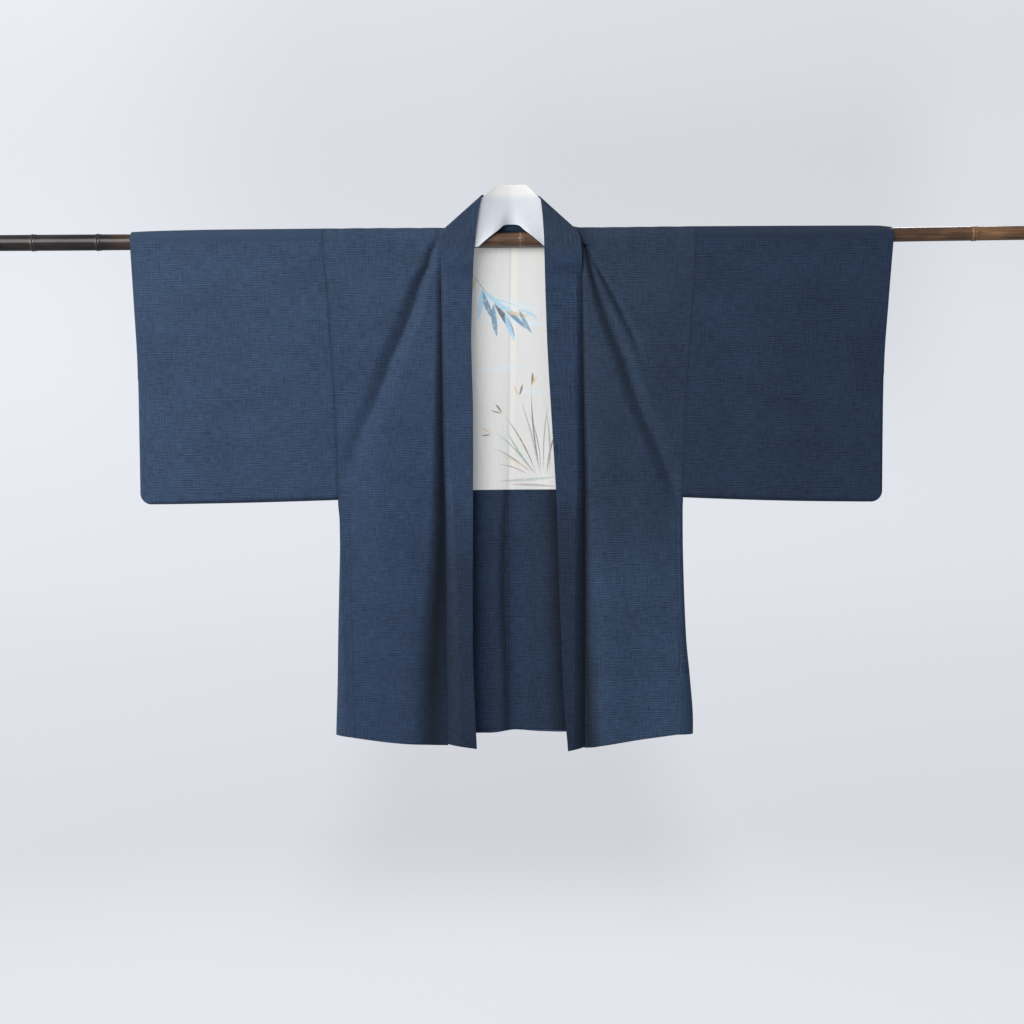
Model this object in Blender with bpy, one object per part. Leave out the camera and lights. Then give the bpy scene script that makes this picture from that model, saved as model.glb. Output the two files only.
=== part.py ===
"""Haori jacket hanging on a bamboo rod.

Metres, +Z up. The jacket's front faces -Y, its left side in front view lies at -X, and the origin is on
the rod's axis at the middle of the jacket. Every cut piece is a thin closed wall of cloth that hangs from
the rod. Tables give distances from the middle plane X = 0 as plain positive sizes.
"""
import math
from collections import namedtuple

import bpy
import bmesh
from mathutils import Vector

# Driving dimensions
ROD_RADIUS = 0.0124
ROD_HALF_LENGTH = 0.905
ROD_SIDES = 14
ROD_END_BEVEL = 0.0012
REST_GAP = 0.00065
SEAM_GAP = 0.0004
LAYER_GAP = 0.0004
BODY_CLOTH = 0.0016
SLEEVE_CLOTH = 0.0015
COLLAR_CLOTH = 0.0020
LINING_CLOTH = 0.0010
GUSSET_CLOTH = 0.0016
SLEEVE_BOTTOM = -0.447
CUFF_END = -0.230
SLEEVE_CORNER_RADIUS = 0.016
LINING_TOP = -0.015
LINING_HEM = -0.433

DRAPE_RADIUS = ROD_RADIUS + REST_GAP + BODY_CLOTH / 2
QUARTER_TURN = DRAPE_RADIUS * math.pi / 2
LEFT = -1
RIGHT = 1

# Side edges of the panels and the depth of the hanging cloth in front of and behind the rod's axis.
# Down to SLEEVE_BOTTOM the side edges are the sleeve seams, below it the gusset seams.
BodyRow = namedtuple("BodyRow", "z front_left back_left front_right back_right side_depth front_depth back_depth")
BODY_ROWS = [
    BodyRow(-0.015, 0.3242, 0.3242, 0.3175, 0.3175, 0.0138, 0.0138, 0.0138),
    BodyRow(-0.035, 0.3223, 0.3223, 0.3168, 0.3168, 0.0136, 0.0140, 0.0139),
    BodyRow(-0.070, 0.3190, 0.3190, 0.3144, 0.3144, 0.0132, 0.0144, 0.0140),
    BodyRow(-0.120, 0.3150, 0.3150, 0.3110, 0.3110, 0.0126, 0.0150, 0.0141),
    BodyRow(-0.175, 0.3120, 0.3120, 0.3073, 0.3073, 0.0119, 0.0155, 0.0143),
    BodyRow(-0.230, 0.3085, 0.3085, 0.3026, 0.3026, 0.0112, 0.0160, 0.0145),
    BodyRow(-0.295, 0.3056, 0.3056, 0.2982, 0.2982, 0.0104, 0.0166, 0.0148),
    BodyRow(-0.365, 0.3034, 0.3034, 0.2946, 0.2946, 0.0096, 0.0172, 0.0151),
    BodyRow(-0.433, 0.3020, 0.3020, 0.2922, 0.2922, 0.0090, 0.0178, 0.0154),
    BodyRow(-0.447, 0.3017, 0.3017, 0.2917, 0.2917, 0.0090, 0.0180, 0.0155),
    BodyRow(-0.520, 0.2955, 0.2965, 0.2875, 0.2883, 0.0110, 0.0188, 0.0160),
    BodyRow(-0.600, 0.2945, 0.2980, 0.2870, 0.2890, 0.0140, 0.0198, 0.0168),
    BodyRow(-0.690, 0.2915, 0.3000, 0.2850, 0.2925, 0.0175, 0.0210, 0.0178),
    BodyRow(-0.780, 0.2875, 0.3025, 0.2815, 0.2980, 0.0210, 0.0220, 0.0190),
    BodyRow(-0.8535, 0.2840, 0.3048, 0.2780, 0.3025, 0.0240, 0.0230, 0.0200),
]
SIDE_HEM = BODY_ROWS[-1].z
BACK_HEM = -0.8490
SEAM_HEM = {LEFT: -0.8675, RIGHT: -0.8750}
TIP_HEM = {LEFT: -0.8760, RIGHT: -0.8810}

# Front strips of the collar: the seam with the front, the free edge, and how far the seam sinks in
StripRow = namedtuple("StripRow", "seam_left edge_left sink_left seam_right edge_right sink_right")
STRIP_ROWS = [
    StripRow(0.1210, 0.0644, 0.0000, 0.1206, 0.0562, 0.0000),
    StripRow(0.1212, 0.0653, 0.0010, 0.1209, 0.0566, 0.0015),
    StripRow(0.1215, 0.0669, 0.0030, 0.1213, 0.0574, 0.0040),
    StripRow(0.1218, 0.0690, 0.0045, 0.1217, 0.0586, 0.0065),
    StripRow(0.1218, 0.0705, 0.0050, 0.1219, 0.0602, 0.0085),
    StripRow(0.1218, 0.0695, 0.0050, 0.1222, 0.0626, 0.0095),
    StripRow(0.1216, 0.0683, 0.0050, 0.1226, 0.0662, 0.0105),
    StripRow(0.1202, 0.0686, 0.0055, 0.1229, 0.0700, 0.0115),
    StripRow(0.1182, 0.0693, 0.0060, 0.1232, 0.0736, 0.0120),
    StripRow(0.1177, 0.0694, 0.0060, 0.1232, 0.0742, 0.0120),
    StripRow(0.1172, 0.0701, 0.0065, 0.1228, 0.0764, 0.0125),
    StripRow(0.1169, 0.0708, 0.0075, 0.1223, 0.0782, 0.0130),
    StripRow(0.1165, 0.0714, 0.0090, 0.1216, 0.0813, 0.0130),
    StripRow(0.1162, 0.0690, 0.0090, 0.1208, 0.0848, 0.0130),
    StripRow(0.1159, 0.0660, 0.0090, 0.1199, 0.0904, 0.0130),
]
SINK_REACH = 0.011

# Folds: at each height, how far from the middle the fold's line is, how wide it is to each side and how
# deep it sinks towards the inside. A negative depth is a roll that stands out.
FoldRow = namedtuple("FoldRow", "z x reach depth")
FRONT_FOLDS = {
    LEFT: [
        [FoldRow(-0.020, 0.140, 0.012, 0.0), FoldRow(-0.060, 0.156, 0.018, 0.005),
         FoldRow(-0.120, 0.179, 0.022, 0.007), FoldRow(-0.212, 0.220, 0.030, 0.007),
         FoldRow(-0.325, 0.272, 0.040, 0.005), FoldRow(-0.430, 0.290, 0.040, 0.0)],
        [FoldRow(-0.006, 0.160, 0.020, 0.0), FoldRow(-0.060, 0.184, 0.030, -0.003),
         FoldRow(-0.160, 0.232, 0.036, -0.004), FoldRow(-0.300, 0.285, 0.040, 0.0)],
        [FoldRow(-0.330, 0.128, 0.022, 0.0), FoldRow(-0.449, 0.128, 0.024, 0.004),
         FoldRow(-0.621, 0.138, 0.034, 0.008), FoldRow(-0.776, 0.142, 0.040, 0.010),
         FoldRow(-0.870, 0.142, 0.042, 0.011)],
        [FoldRow(-0.450, 0.225, 0.060, 0.0), FoldRow(-0.650, 0.215, 0.070, -0.004),
         FoldRow(-0.870, 0.210, 0.075, -0.006)],
    ],
    RIGHT: [
        [FoldRow(-0.020, 0.130, 0.010, 0.0), FoldRow(-0.049, 0.147, 0.016, 0.005),
         FoldRow(-0.120, 0.179, 0.018, 0.007), FoldRow(-0.200, 0.212, 0.022, 0.0)],
        [FoldRow(-0.080, 0.146, 0.014, 0.0), FoldRow(-0.147, 0.165, 0.020, 0.004),
         FoldRow(-0.214, 0.190, 0.028, 0.006), FoldRow(-0.357, 0.232, 0.036, 0.006),
         FoldRow(-0.440, 0.270, 0.040, 0.0)],
        [FoldRow(-0.100, 0.136, 0.016, 0.0), FoldRow(-0.300, 0.140, 0.020, -0.004),
         FoldRow(-0.870, 0.138, 0.022, -0.005)],
        [FoldRow(-0.480, 0.205, 0.050, 0.0), FoldRow(-0.680, 0.195, 0.055, 0.004),
         FoldRow(-0.870, 0.190, 0.060, 0.006)],
    ],
}
BACK_FOLDS = {
    LEFT: [
        [FoldRow(-0.150, 0.020, 0.030, 0.0), FoldRow(-0.450, 0.024, 0.032, 0.003),
         FoldRow(-0.855, 0.028, 0.034, 0.006)],
        [FoldRow(-0.020, 0.150, 0.030, 0.0), FoldRow(-0.120, 0.180, 0.036, 0.004),
         FoldRow(-0.300, 0.238, 0.044, 0.005), FoldRow(-0.440, 0.275, 0.044, 0.0)],
        [FoldRow(-0.420, 0.150, 0.050, 0.0), FoldRow(-0.650, 0.140, 0.060, 0.006),
         FoldRow(-0.855, 0.135, 0.064, 0.009)],
    ],
    RIGHT: [
        [FoldRow(-0.300, 0.068, 0.030, 0.0), FoldRow(-0.550, 0.072, 0.036, 0.005),
         FoldRow(-0.855, 0.078, 0.040, 0.008)],
        [FoldRow(-0.020, 0.140, 0.030, 0.0), FoldRow(-0.110, 0.168, 0.034, 0.004),
         FoldRow(-0.260, 0.215, 0.044, 0.005), FoldRow(-0.420, 0.262, 0.044, 0.0)],
        [FoldRow(-0.460, 0.190, 0.050, 0.0), FoldRow(-0.680, 0.185, 0.060, 0.005),
         FoldRow(-0.855, 0.180, 0.064, 0.008)],
    ],
}
SIDE_PIN = 0.016

# Rows of the body cloth over the shoulder: the length along the cloth from the rod's top, forwards as
# positive, at the sleeve seam, and the neckline's point at the other end of the row.
ShoulderRow = namedtuple("ShoulderRow", "side_run neck_x neck_run")
SHOULDER_ROWS = [
    ShoulderRow(0.0290, 0.0900, 0.0355),
    ShoulderRow(0.0220, 0.0640, 0.0335),
    ShoulderRow(0.0172, 0.0540, 0.0290),
    ShoulderRow(0.0124, 0.0455, 0.0238),
    ShoulderRow(0.0076, 0.0395, 0.0190),
    ShoulderRow(0.0028, 0.0345, 0.0142),
    ShoulderRow(-0.0020, 0.0300, 0.0098),
    ShoulderRow(-0.0068, 0.0250, 0.0062),
    ShoulderRow(-0.0116, 0.0130, 0.0020),
    ShoulderRow(-0.0164, 0.0000, 0.0000),
    ShoulderRow(-0.0212, 0.0000, -0.0070),
    ShoulderRow(-0.0262, 0.0000, -0.0120),
    ShoulderRow(-0.0312, 0.0000, -0.0170),
]
NECK_RISE = 1.24
NECK_LEAN = 0.0009
NECK_LEAN_START = 0.008
NECK_LEAN_REACH = 0.014
NECK_UPRIGHT = 0.005
NECK_ROUND = 0.030
COLUMNS = (0.0, 0.06, 0.16, 0.28, 0.40, 0.51, 0.62, 0.72, 0.81, 0.88, 0.93, 0.967, 1.0)

# Collar around the neck, from the turn at the shoulder to the centre back. Each row runs from the seam
# edge to the free edge of the strip.
TurnRow = namedtuple("TurnRow", "seam_x seam_y seam_z edge_x edge_y edge_z")
STRIP_LIFT = 0.0200
INNER_LIFT = 0.0160
COLLAR_FRONT_TURN = {
    LEFT: [
        TurnRow(0.1212, -0.0162, -0.046, 0.0652, -0.0200, -0.036),
        TurnRow(0.1210, -STRIP_LIFT, -0.025, 0.0620, -STRIP_LIFT, 0.004),
        TurnRow(0.1210, -STRIP_LIFT, -0.003, 0.0565, -STRIP_LIFT, 0.046),
        TurnRow(0.1210, -STRIP_LIFT, 0.011, 0.0505, -STRIP_LIFT, 0.0715),
    ],
    RIGHT: [
        TurnRow(0.1212, -0.0162, -0.046, 0.0568, -0.0200, -0.036),
        TurnRow(0.1210, -STRIP_LIFT, -0.025, 0.0560, -STRIP_LIFT, 0.004),
        TurnRow(0.1210, -STRIP_LIFT, -0.003, 0.0535, -STRIP_LIFT, 0.046),
        TurnRow(0.1210, -STRIP_LIFT, 0.011, 0.0500, -STRIP_LIFT, 0.0715),
    ],
}
COLLAR_FOLD = [
    TurnRow(0.1216, -0.0193, 0.0135, 0.0490, -0.0193, 0.0750),
    TurnRow(0.1222, -0.0180, 0.0150, 0.0482, -0.0180, 0.0765),
    TurnRow(0.1216, -0.0167, 0.0135, 0.0480, -0.0167, 0.0755),
]
COLLAR_NECK = [
    TurnRow(0.1190, -INNER_LIFT, 0.0110, 0.0460, -INNER_LIFT, 0.0745),
    TurnRow(0.0950, -INNER_LIFT, -0.0020, 0.0410, -0.0125, 0.0790),
    TurnRow(0.0750, -INNER_LIFT, -0.0090, 0.0350, -0.0080, 0.0815),
    TurnRow(0.0600, -INNER_LIFT, -0.0110, 0.0290, -0.0035, 0.0835),
    TurnRow(0.0470, -INNER_LIFT, -0.0035, 0.0230, 0.0005, 0.0845),
    TurnRow(0.0350, -0.0152, 0.0065, 0.0170, 0.0040, 0.0850),
    TurnRow(0.0240, -0.0080, 0.0138, 0.0115, 0.0065, 0.0855),
    TurnRow(0.0130, 0.0056, 0.0210, 0.0060, 0.0082, 0.0860),
    TurnRow(0.0000, 0.0104, 0.0225, 0.0000, 0.0090, 0.0860),
]
STRIP_COLUMNS = (0.0, 0.07, 0.17, 0.45, 0.75, 1.0)
LEAN = 1.7

# Sleeves: how far out the cuff edge is at each height, and the hollow's half width there
SleeveRow = namedtuple("SleeveRow", "z edge_left edge_right edge_depth")
SLEEVE_ROWS = [
    SleeveRow(0.000, 0.6542, 0.6560, 0.0138),
    SleeveRow(-0.120, 0.6490, 0.6460, 0.0100),
    SleeveRow(-0.230, 0.6438, 0.6372, 0.0060),
    SleeveRow(-0.295, 0.6420, 0.6350, 0.0040),
    SleeveRow(-0.455, 0.6402, 0.6322, 0.0030),
]
SLEEVE_DIP = {LEFT: 0.003, RIGHT: 0.008}
SLEEVE_FULLNESS = 0.0035
SLEEVE_STATIONS = (0.0, 0.07, 0.20, 0.36, 0.52, 0.68, 0.82, 0.92)
CORNER_STATIONS = (0.016, 0.008, 0.0025, 0.0)
CORNER_CLOSE = 0.55
STRETCH_TOP = -0.295
ARC_STEPS = 10

# Bamboo rings: where they are along the rod and how far they stand out
RingRow = namedtuple("RingRow", "x height")
BAMBOO_RINGS = [
    RingRow(-0.826, 0.0011), RingRow(-0.714, 0.0011), RingRow(-0.545, 0.0002), RingRow(-0.360, 0.0002),
    RingRow(-0.165, 0.0002), RingRow(0.017, 0.0004), RingRow(0.205, 0.0002), RingRow(0.400, 0.0002),
    RingRow(0.600, 0.0002), RingRow(0.799, 0.0011),
]
RingStation = namedtuple("RingStation", "offset rise")
RING_PROFILE = [
    RingStation(-0.0060, 0.0), RingStation(-0.0012, 1.0), RingStation(0.0006, 0.1),
    RingStation(0.0024, 0.7), RingStation(0.0070, 0.0),
]

# Finishes: base colour, roughness and metallic value
Finish = namedtuple("Finish", "colour roughness metallic")
FINISHES = {
    "navy_cloth": Finish((0.045, 0.075, 0.140, 1.0), 0.85, 0.0),
    "navy_collar": Finish((0.040, 0.065, 0.125, 1.0), 0.85, 0.0),
    "white_lining": Finish((0.780, 0.780, 0.760, 1.0), 0.55, 0.0),
    "bamboo": Finish((0.130, 0.075, 0.050, 1.0), 0.35, 0.0),
}


def clear_scene():
    for item in list(bpy.data.objects):
        bpy.data.objects.remove(item, do_unlink=True)


def make_material(name):
    finish = FINISHES[name]
    material = bpy.data.materials.new(name)
    material.use_nodes = True
    shader = material.node_tree.nodes["Principled BSDF"]
    shader.inputs["Base Color"].default_value = finish.colour
    shader.inputs["Roughness"].default_value = finish.roughness
    shader.inputs["Metallic"].default_value = finish.metallic
    material.diffuse_color = finish.colour
    return material


def mix(start, end, share):
    return start + (end - start) * share


def smooth_step(value):
    value = min(max(value, 0.0), 1.0)
    return value * value * (3.0 - 2.0 * value)


def read(rows, z, column):
    """A column's value at height z, straight between the rows, which run from high to low."""
    if z >= rows[0].z:
        return getattr(rows[0], column)
    for upper, lower in zip(rows, rows[1:]):
        if z >= lower.z:
            share = (upper.z - z) / (upper.z - lower.z)
            return mix(getattr(upper, column), getattr(lower, column), share)
    return getattr(rows[-1], column)


def side_name(side):
    return "left" if side == LEFT else "right"


def fold_depth(folds, x, z):
    """Sum of the folds' depths at a place on a panel."""
    total = 0.0
    for fold in folds:
        if z > fold[0].z:
            continue
        distance = abs(x - read(fold, z, "x")) / read(fold, z, "reach")
        if distance < 1.0:
            total += read(fold, z, "depth") * (1.0 - distance) ** 2 * (1.0 + 2.0 * distance)
    return total


def strip_value(side, index, column):
    return getattr(STRIP_ROWS[index], column + "_" + side_name(side))


def seam_sink(side, z, column="sink"):
    """A collar column read by height, on the heights of the body rows."""
    heights = [row.z for row in BODY_ROWS]
    if z >= heights[0]:
        return strip_value(side, 0, column)
    for index in range(1, len(heights)):
        if z >= heights[index]:
            share = (heights[index - 1] - z) / (heights[index - 1] - heights[index])
            return mix(strip_value(side, index - 1, column), strip_value(side, index, column), share)
    return strip_value(side, len(heights) - 1, column)


def front_depth(side, x, z):
    """How far in front of the rod's axis the front panel hangs at distance x from the middle."""
    seam = seam_sink(side, z, "seam")
    edge = read(BODY_ROWS, z, "front_" + side_name(side))
    rise = smooth_step((edge - x) / (0.45 * (edge - seam)))
    base = mix(read(BODY_ROWS, z, "side_depth"), read(BODY_ROWS, z, "front_depth"), rise)
    pin = smooth_step((edge - x) / SIDE_PIN)
    past_seam = max(0.0, x - seam)
    sink = seam_sink(side, z) * max(0.0, 1.0 - past_seam / SINK_REACH) ** 1.4
    return base - pin * fold_depth(FRONT_FOLDS[side], x, z) - sink


def back_depth(side, x, z):
    """How far behind the rod's axis the back panel hangs at distance x from the middle."""
    edge = read(BODY_ROWS, z, "back_" + side_name(side))
    rise = smooth_step((edge - x) / (0.40 * edge))
    base = mix(read(BODY_ROWS, z, "side_depth"), read(BODY_ROWS, z, "back_depth"), rise)
    pin = smooth_step((edge - x) / SIDE_PIN) * smooth_step(x / SIDE_PIN)
    return base - pin * fold_depth(BACK_FOLDS[side], x, z)


def body_point(side, x, run):
    """Middle of the body cloth at distance x from the middle plane and a run along the cloth."""
    if run >= QUARTER_TURN:
        z = QUARTER_TURN - run
        return Vector((side * x, -front_depth(side, x, z), z))
    if run <= -QUARTER_TURN:
        z = QUARTER_TURN + run
        return Vector((side * x, back_depth(side, x, z), z))
    turn = run / DRAPE_RADIUS
    over_rod = Vector((side * x, -DRAPE_RADIUS * math.sin(turn), DRAPE_RADIUS * math.cos(turn)))
    height = (run + QUARTER_TURN) * NECK_RISE
    lean = NECK_LEAN * smooth_step((height - NECK_LEAN_START) / NECK_LEAN_REACH)
    upright = Vector((side * x, DRAPE_RADIUS - lean, height))
    share = 1.0 - smooth_step((x - NECK_UPRIGHT) / (NECK_ROUND - NECK_UPRIGHT))
    return over_rod.lerp(upright, share)


def hem_drop(z, deeper_hem):
    """Height of a row at its inner end, where the hem hangs at deeper_hem instead of SIDE_HEM."""
    return z + (deeper_hem - SIDE_HEM) * (z / SIDE_HEM) ** 2


def body_rows(side):
    """Rows of points of one body panel, from the front hem over the shoulder to the back hem."""
    name = side_name(side)
    rows = []

    def add_row(side_x, side_run, inner_x, inner_run):
        outer = side_x - SEAM_GAP / 2
        rows.append([body_point(side, mix(outer, inner_x, share), mix(side_run, inner_run, share))
                     for share in COLUMNS])

    for index in reversed(range(len(BODY_ROWS))):
        row = BODY_ROWS[index]
        inner_z = hem_drop(row.z, SEAM_HEM[side])
        inner_x = seam_sink(side, inner_z, "seam") + SEAM_GAP / 2
        add_row(getattr(row, "front_" + name), QUARTER_TURN - row.z, inner_x, QUARTER_TURN - inner_z)
    top_x = getattr(BODY_ROWS[0], "front_" + name)
    for row in SHOULDER_ROWS:
        add_row(top_x, row.side_run, max(row.neck_x, SEAM_GAP / 2), row.neck_run)
    for row in BODY_ROWS:
        inner_z = hem_drop(row.z, BACK_HEM)
        add_row(getattr(row, "back_" + name), row.z - QUARTER_TURN, SEAM_GAP / 2, inner_z - QUARTER_TURN)
    return rows


def add_grid(bm, rows):
    """A skin of triangles over rows of points, each cell split along its shorter diagonal."""
    skin = [[bm.verts.new(point) for point in row] for row in rows]
    for upper, lower in zip(skin, skin[1:]):
        for c in range(len(upper) - 1):
            corners = (upper[c], upper[c + 1], lower[c + 1], lower[c])
            falling = (corners[0].co - corners[2].co).length
            rising = (corners[1].co - corners[3].co).length
            turned = corners if falling < rising else corners[1:] + corners[:1]
            bm.faces.new((turned[0], turned[1], turned[2]))
            bm.faces.new((turned[0], turned[2], turned[3]))
    return skin


def grid_normals(rows):
    """Unit normals of a grid of points. On the end columns they have no X part, so seams stay true."""
    bm = bmesh.new()
    skin = add_grid(bm, rows)
    bm.normal_update()
    normals = [[vert.normal.copy() for vert in row] for row in skin]
    bm.free()
    for line in normals:
        for c in (0, -1):
            line[c].x = 0.0
            line[c].normalize()
    return normals


def offset_rows(rows, distance):
    """The same grid moved along its normals."""
    normals = grid_normals(rows)
    return [[point + normal * distance for point, normal in zip(row, line)]
            for row, line in zip(rows, normals)]


def add_object(name, bm, material):
    bmesh.ops.recalc_face_normals(bm, faces=bm.faces[:])
    mesh = bpy.data.meshes.new(name)
    bm.to_mesh(mesh)
    bm.free()
    mesh.shade_smooth()
    mesh.set_sharp_from_angle(angle=math.radians(40.0))
    item = bpy.data.objects.new(name, mesh)
    item.data.materials.append(material)
    bpy.context.scene.collection.objects.link(item)
    return item


def wall_between(name, faces, material):
    """A closed wall of cloth between two grids of points, its two faces."""
    bm = bmesh.new()
    skins = [add_grid(bm, rows) for rows in faces]
    near, far = [skin[0] + [row[-1] for row in skin[1:-1]] + skin[-1][::-1]
                 + [row[0] for row in skin[-2:0:-1]] for skin in skins]
    for k in range(len(near)):
        bm.faces.new((near[k - 1], near[k], far[k], far[k - 1]))
    return add_object(name, bm, material)


def wall_faces(rows, thickness):
    """The two faces of a wall whose middle is a grid of points."""
    return [offset_rows(rows, thickness * share) for share in (0.5, -0.5)]


def wall_from_rows(name, rows, thickness, material):
    return wall_between(name, wall_faces(rows, thickness), material)


def make_body_panel(side, material):
    rows = body_rows(side)
    wall_from_rows("body_panel_" + side_name(side), rows, BODY_CLOTH, material)
    return rows


def back_part(rows_left, rows_right, first_z, last_z):
    """Rows of both back panels between two heights, joined at the centre back."""
    first = len(BODY_ROWS) + len(SHOULDER_ROWS)
    joined = []
    for row, left, right in zip(BODY_ROWS, rows_left[first:], rows_right[first:]):
        if first_z >= row.z >= last_z:
            centre = (left[-1] + right[-1]) / 2
            joined.append(left[:-1] + [centre] + right[-2::-1])
    return joined


def make_back_layers(rows_left, rows_right, lining, cloth):
    """The white lining on the upper back and the turned-up facing below it, both inside the back."""
    inwards = BODY_CLOTH / 2 + LAYER_GAP + LINING_CLOTH / 2
    upper = back_part(rows_left, rows_right, LINING_TOP, LINING_HEM)
    lower = back_part(rows_left, rows_right, LINING_HEM, SIDE_HEM)
    for name, rows, material in (("back_lining", upper, lining), ("back_facing", lower, cloth)):
        moved = [[Vector((point.x * 0.995, point.y - inwards, point.z)) for point in row] for row in rows]
        if name == "back_facing":
            moved[0] = [point - Vector((0.0, 0.0, SEAM_GAP)) for point in moved[0]]
            moved[-1] = [point + Vector((0.0, 0.0, 0.002)) for point in moved[-1]]
        wall_from_rows(name, moved, LINING_CLOTH, material)


def strip_rows(side):
    """Rows of one front strip of the collar, from the hem up to the shoulder, seam edge first."""
    rows = []
    for index in reversed(range(2, len(BODY_ROWS))):
        seam_z = hem_drop(BODY_ROWS[index].z, SEAM_HEM[side])
        edge_z = hem_drop(BODY_ROWS[index].z, TIP_HEM[side])
        seam_x = seam_sink(side, seam_z, "seam") - SEAM_GAP / 2
        edge_x = strip_value(side, index, "edge")
        sink = seam_sink(side, seam_z)
        row = []
        for share in STRIP_COLUMNS:
            x = mix(seam_x, edge_x, share)
            z = mix(seam_z, edge_z, share)
            full = front_depth(side, seam_x + SEAM_GAP, seam_z) + sink
            depth = full - sink * max(0.0, 1.0 - (seam_x - x) / SINK_REACH) ** 1.4
            row.append(Vector((side * x, -depth, z)))
        rows.append(row)
    return rows


def turn_rows(side, table):
    """Rows of the strip that rise steeply from the seam edge and lean back towards the free edge."""
    rows = []
    for turn in table:
        row = []
        for share in STRIP_COLUMNS:
            x = mix(turn.seam_x, turn.edge_x, share)
            y = mix(turn.seam_y, turn.edge_y, share ** LEAN)
            row.append(Vector((side * x, y, mix(turn.seam_z, turn.edge_z, share))))
        rows.append(row)
    return rows


def neck_rows():
    """Rows of the collar behind the neck, from the left turn over the centre back to the right turn."""
    left = turn_rows(LEFT, COLLAR_NECK)
    right = turn_rows(RIGHT, COLLAR_NECK[:-1])
    return left + right[::-1]


def half_of(face, side, centre):
    """One side's half of the collar, which stops at the seam at the centre back."""
    rows = face[:centre] if side == LEFT else face[centre + 1:]
    seam = [point + Vector((side * SEAM_GAP / 2, 0.0, 0.0)) for point in face[centre]]
    return rows + [seam] if side == LEFT else [seam] + rows


def make_collar(cloth, lining):
    strips = {}
    for side in (LEFT, RIGHT):
        strips[side] = strip_rows(side) + turn_rows(side, COLLAR_FRONT_TURN[side] + COLLAR_FOLD)
    whole = strips[LEFT] + neck_rows() + strips[RIGHT][::-1]
    faces = wall_faces(whole, COLLAR_CLOTH)
    for side in (LEFT, RIGHT):
        halves = [half_of(face, side, len(whole) // 2) for face in faces]
        wall_between("collar_" + side_name(side), halves, cloth)
    shown = neck_rows()[1:-1]
    inner_face = -(COLLAR_CLOTH / 2 + LAYER_GAP + LINING_CLOTH / 2)
    wall_from_rows("collar_lining", offset_rows(shown, inner_face), LINING_CLOTH, lining)


def sleeve_loop(side, share, edge_distance):
    """One ring of the sleeve: over the rod, down the front, round the bottom and up the back.

    share runs from the armhole to the cuff; edge_distance is set for the last rings at the cuff edge.
    """
    name = side_name(side)
    closing = 0.0
    lift = 0.0
    if edge_distance is not None:
        closing = 1.0 - edge_distance / CORNER_STATIONS[0]
        lift = SLEEVE_CORNER_RADIUS * (1.0 - math.sqrt(1.0 - closing ** 2))
    bottom = SLEEVE_BOTTOM - SLEEVE_DIP[side] * share + lift

    def across(z):
        inner = read(BODY_ROWS, z, "front_" + name) + SEAM_GAP / 2
        outer = read(SLEEVE_ROWS, z, "edge_" + name)
        return mix(inner, outer, share) if edge_distance is None else outer - edge_distance

    def half_depth(z):
        narrow = mix(read(BODY_ROWS, z, "side_depth"), read(SLEEVE_ROWS, z, "edge_depth"), share)
        depth = narrow + SLEEVE_FULLNESS * math.sin(math.pi * share) * smooth_step(-z / 0.15)
        if z < CUFF_END:
            depth *= 1.0 - CORNER_CLOSE * closing ** 2 * (1.0 if depth > 0.0035 else 0.4)
        return depth

    def front_point(z, depth):
        return Vector((side * across(z), -depth, z))

    heights = [row.z for row in BODY_ROWS if row.z > SLEEVE_BOTTOM]
    stretch = (bottom + lift * 0.3 - STRETCH_TOP) / (SLEEVE_BOTTOM - STRETCH_TOP)
    heights = [z if z >= STRETCH_TOP else mix(STRETCH_TOP, z, stretch) for z in heights]
    loop = []
    for step in range(ARC_STEPS + 1):
        turn = math.pi / 2 - math.pi * step / ARC_STEPS
        y = DRAPE_RADIUS * math.sin(turn)
        loop.append(Vector((side * across(0.0), y, DRAPE_RADIUS * math.cos(turn))))
    front = [front_point(z, half_depth(z)) for z in heights]
    depth = half_depth(bottom)
    corner_z = bottom + 0.35 * depth
    corner = [front_point(corner_z, 0.72 * half_depth(corner_z)), front_point(bottom, 0.25 * depth)]
    under = [Vector((point.x, -point.y, point.z)) for point in reversed(corner)]
    back = [Vector((point.x, -point.y, point.z)) for point in reversed(front)]
    return loop + front + corner + under + back


def make_sleeve(side, material):
    rings = [sleeve_loop(side, share, None) for share in SLEEVE_STATIONS]
    rings += [sleeve_loop(side, 1.0, distance) for distance in CORNER_STATIONS]
    bm = bmesh.new()
    rings = [[bm.verts.new(point) for point in ring] for ring in rings]
    for inner, outer in zip(rings, rings[1:]):
        for k in range(len(inner)):
            bm.faces.new((inner[k - 1], inner[k], outer[k], outer[k - 1]))
    last = rings[-1]
    front = [vert for vert in last if vert.co.y < 0.0 and vert.co.z <= CUFF_END + 0.0001]
    for upper, lower in zip(front, front[1:]):
        mates = [last[(ARC_STEPS - last.index(vert)) % len(last)] for vert in (upper, lower)]
        bm.faces.new((upper, lower, mates[1], mates[0]))
    item = add_object("sleeve_" + side_name(side), bm, material)
    wall = item.modifiers.new("cloth", "SOLIDIFY")
    wall.thickness = SLEEVE_CLOTH
    wall.offset = 0.0
    wall.use_even_offset = True
    wall.use_rim = True
    return item


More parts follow.
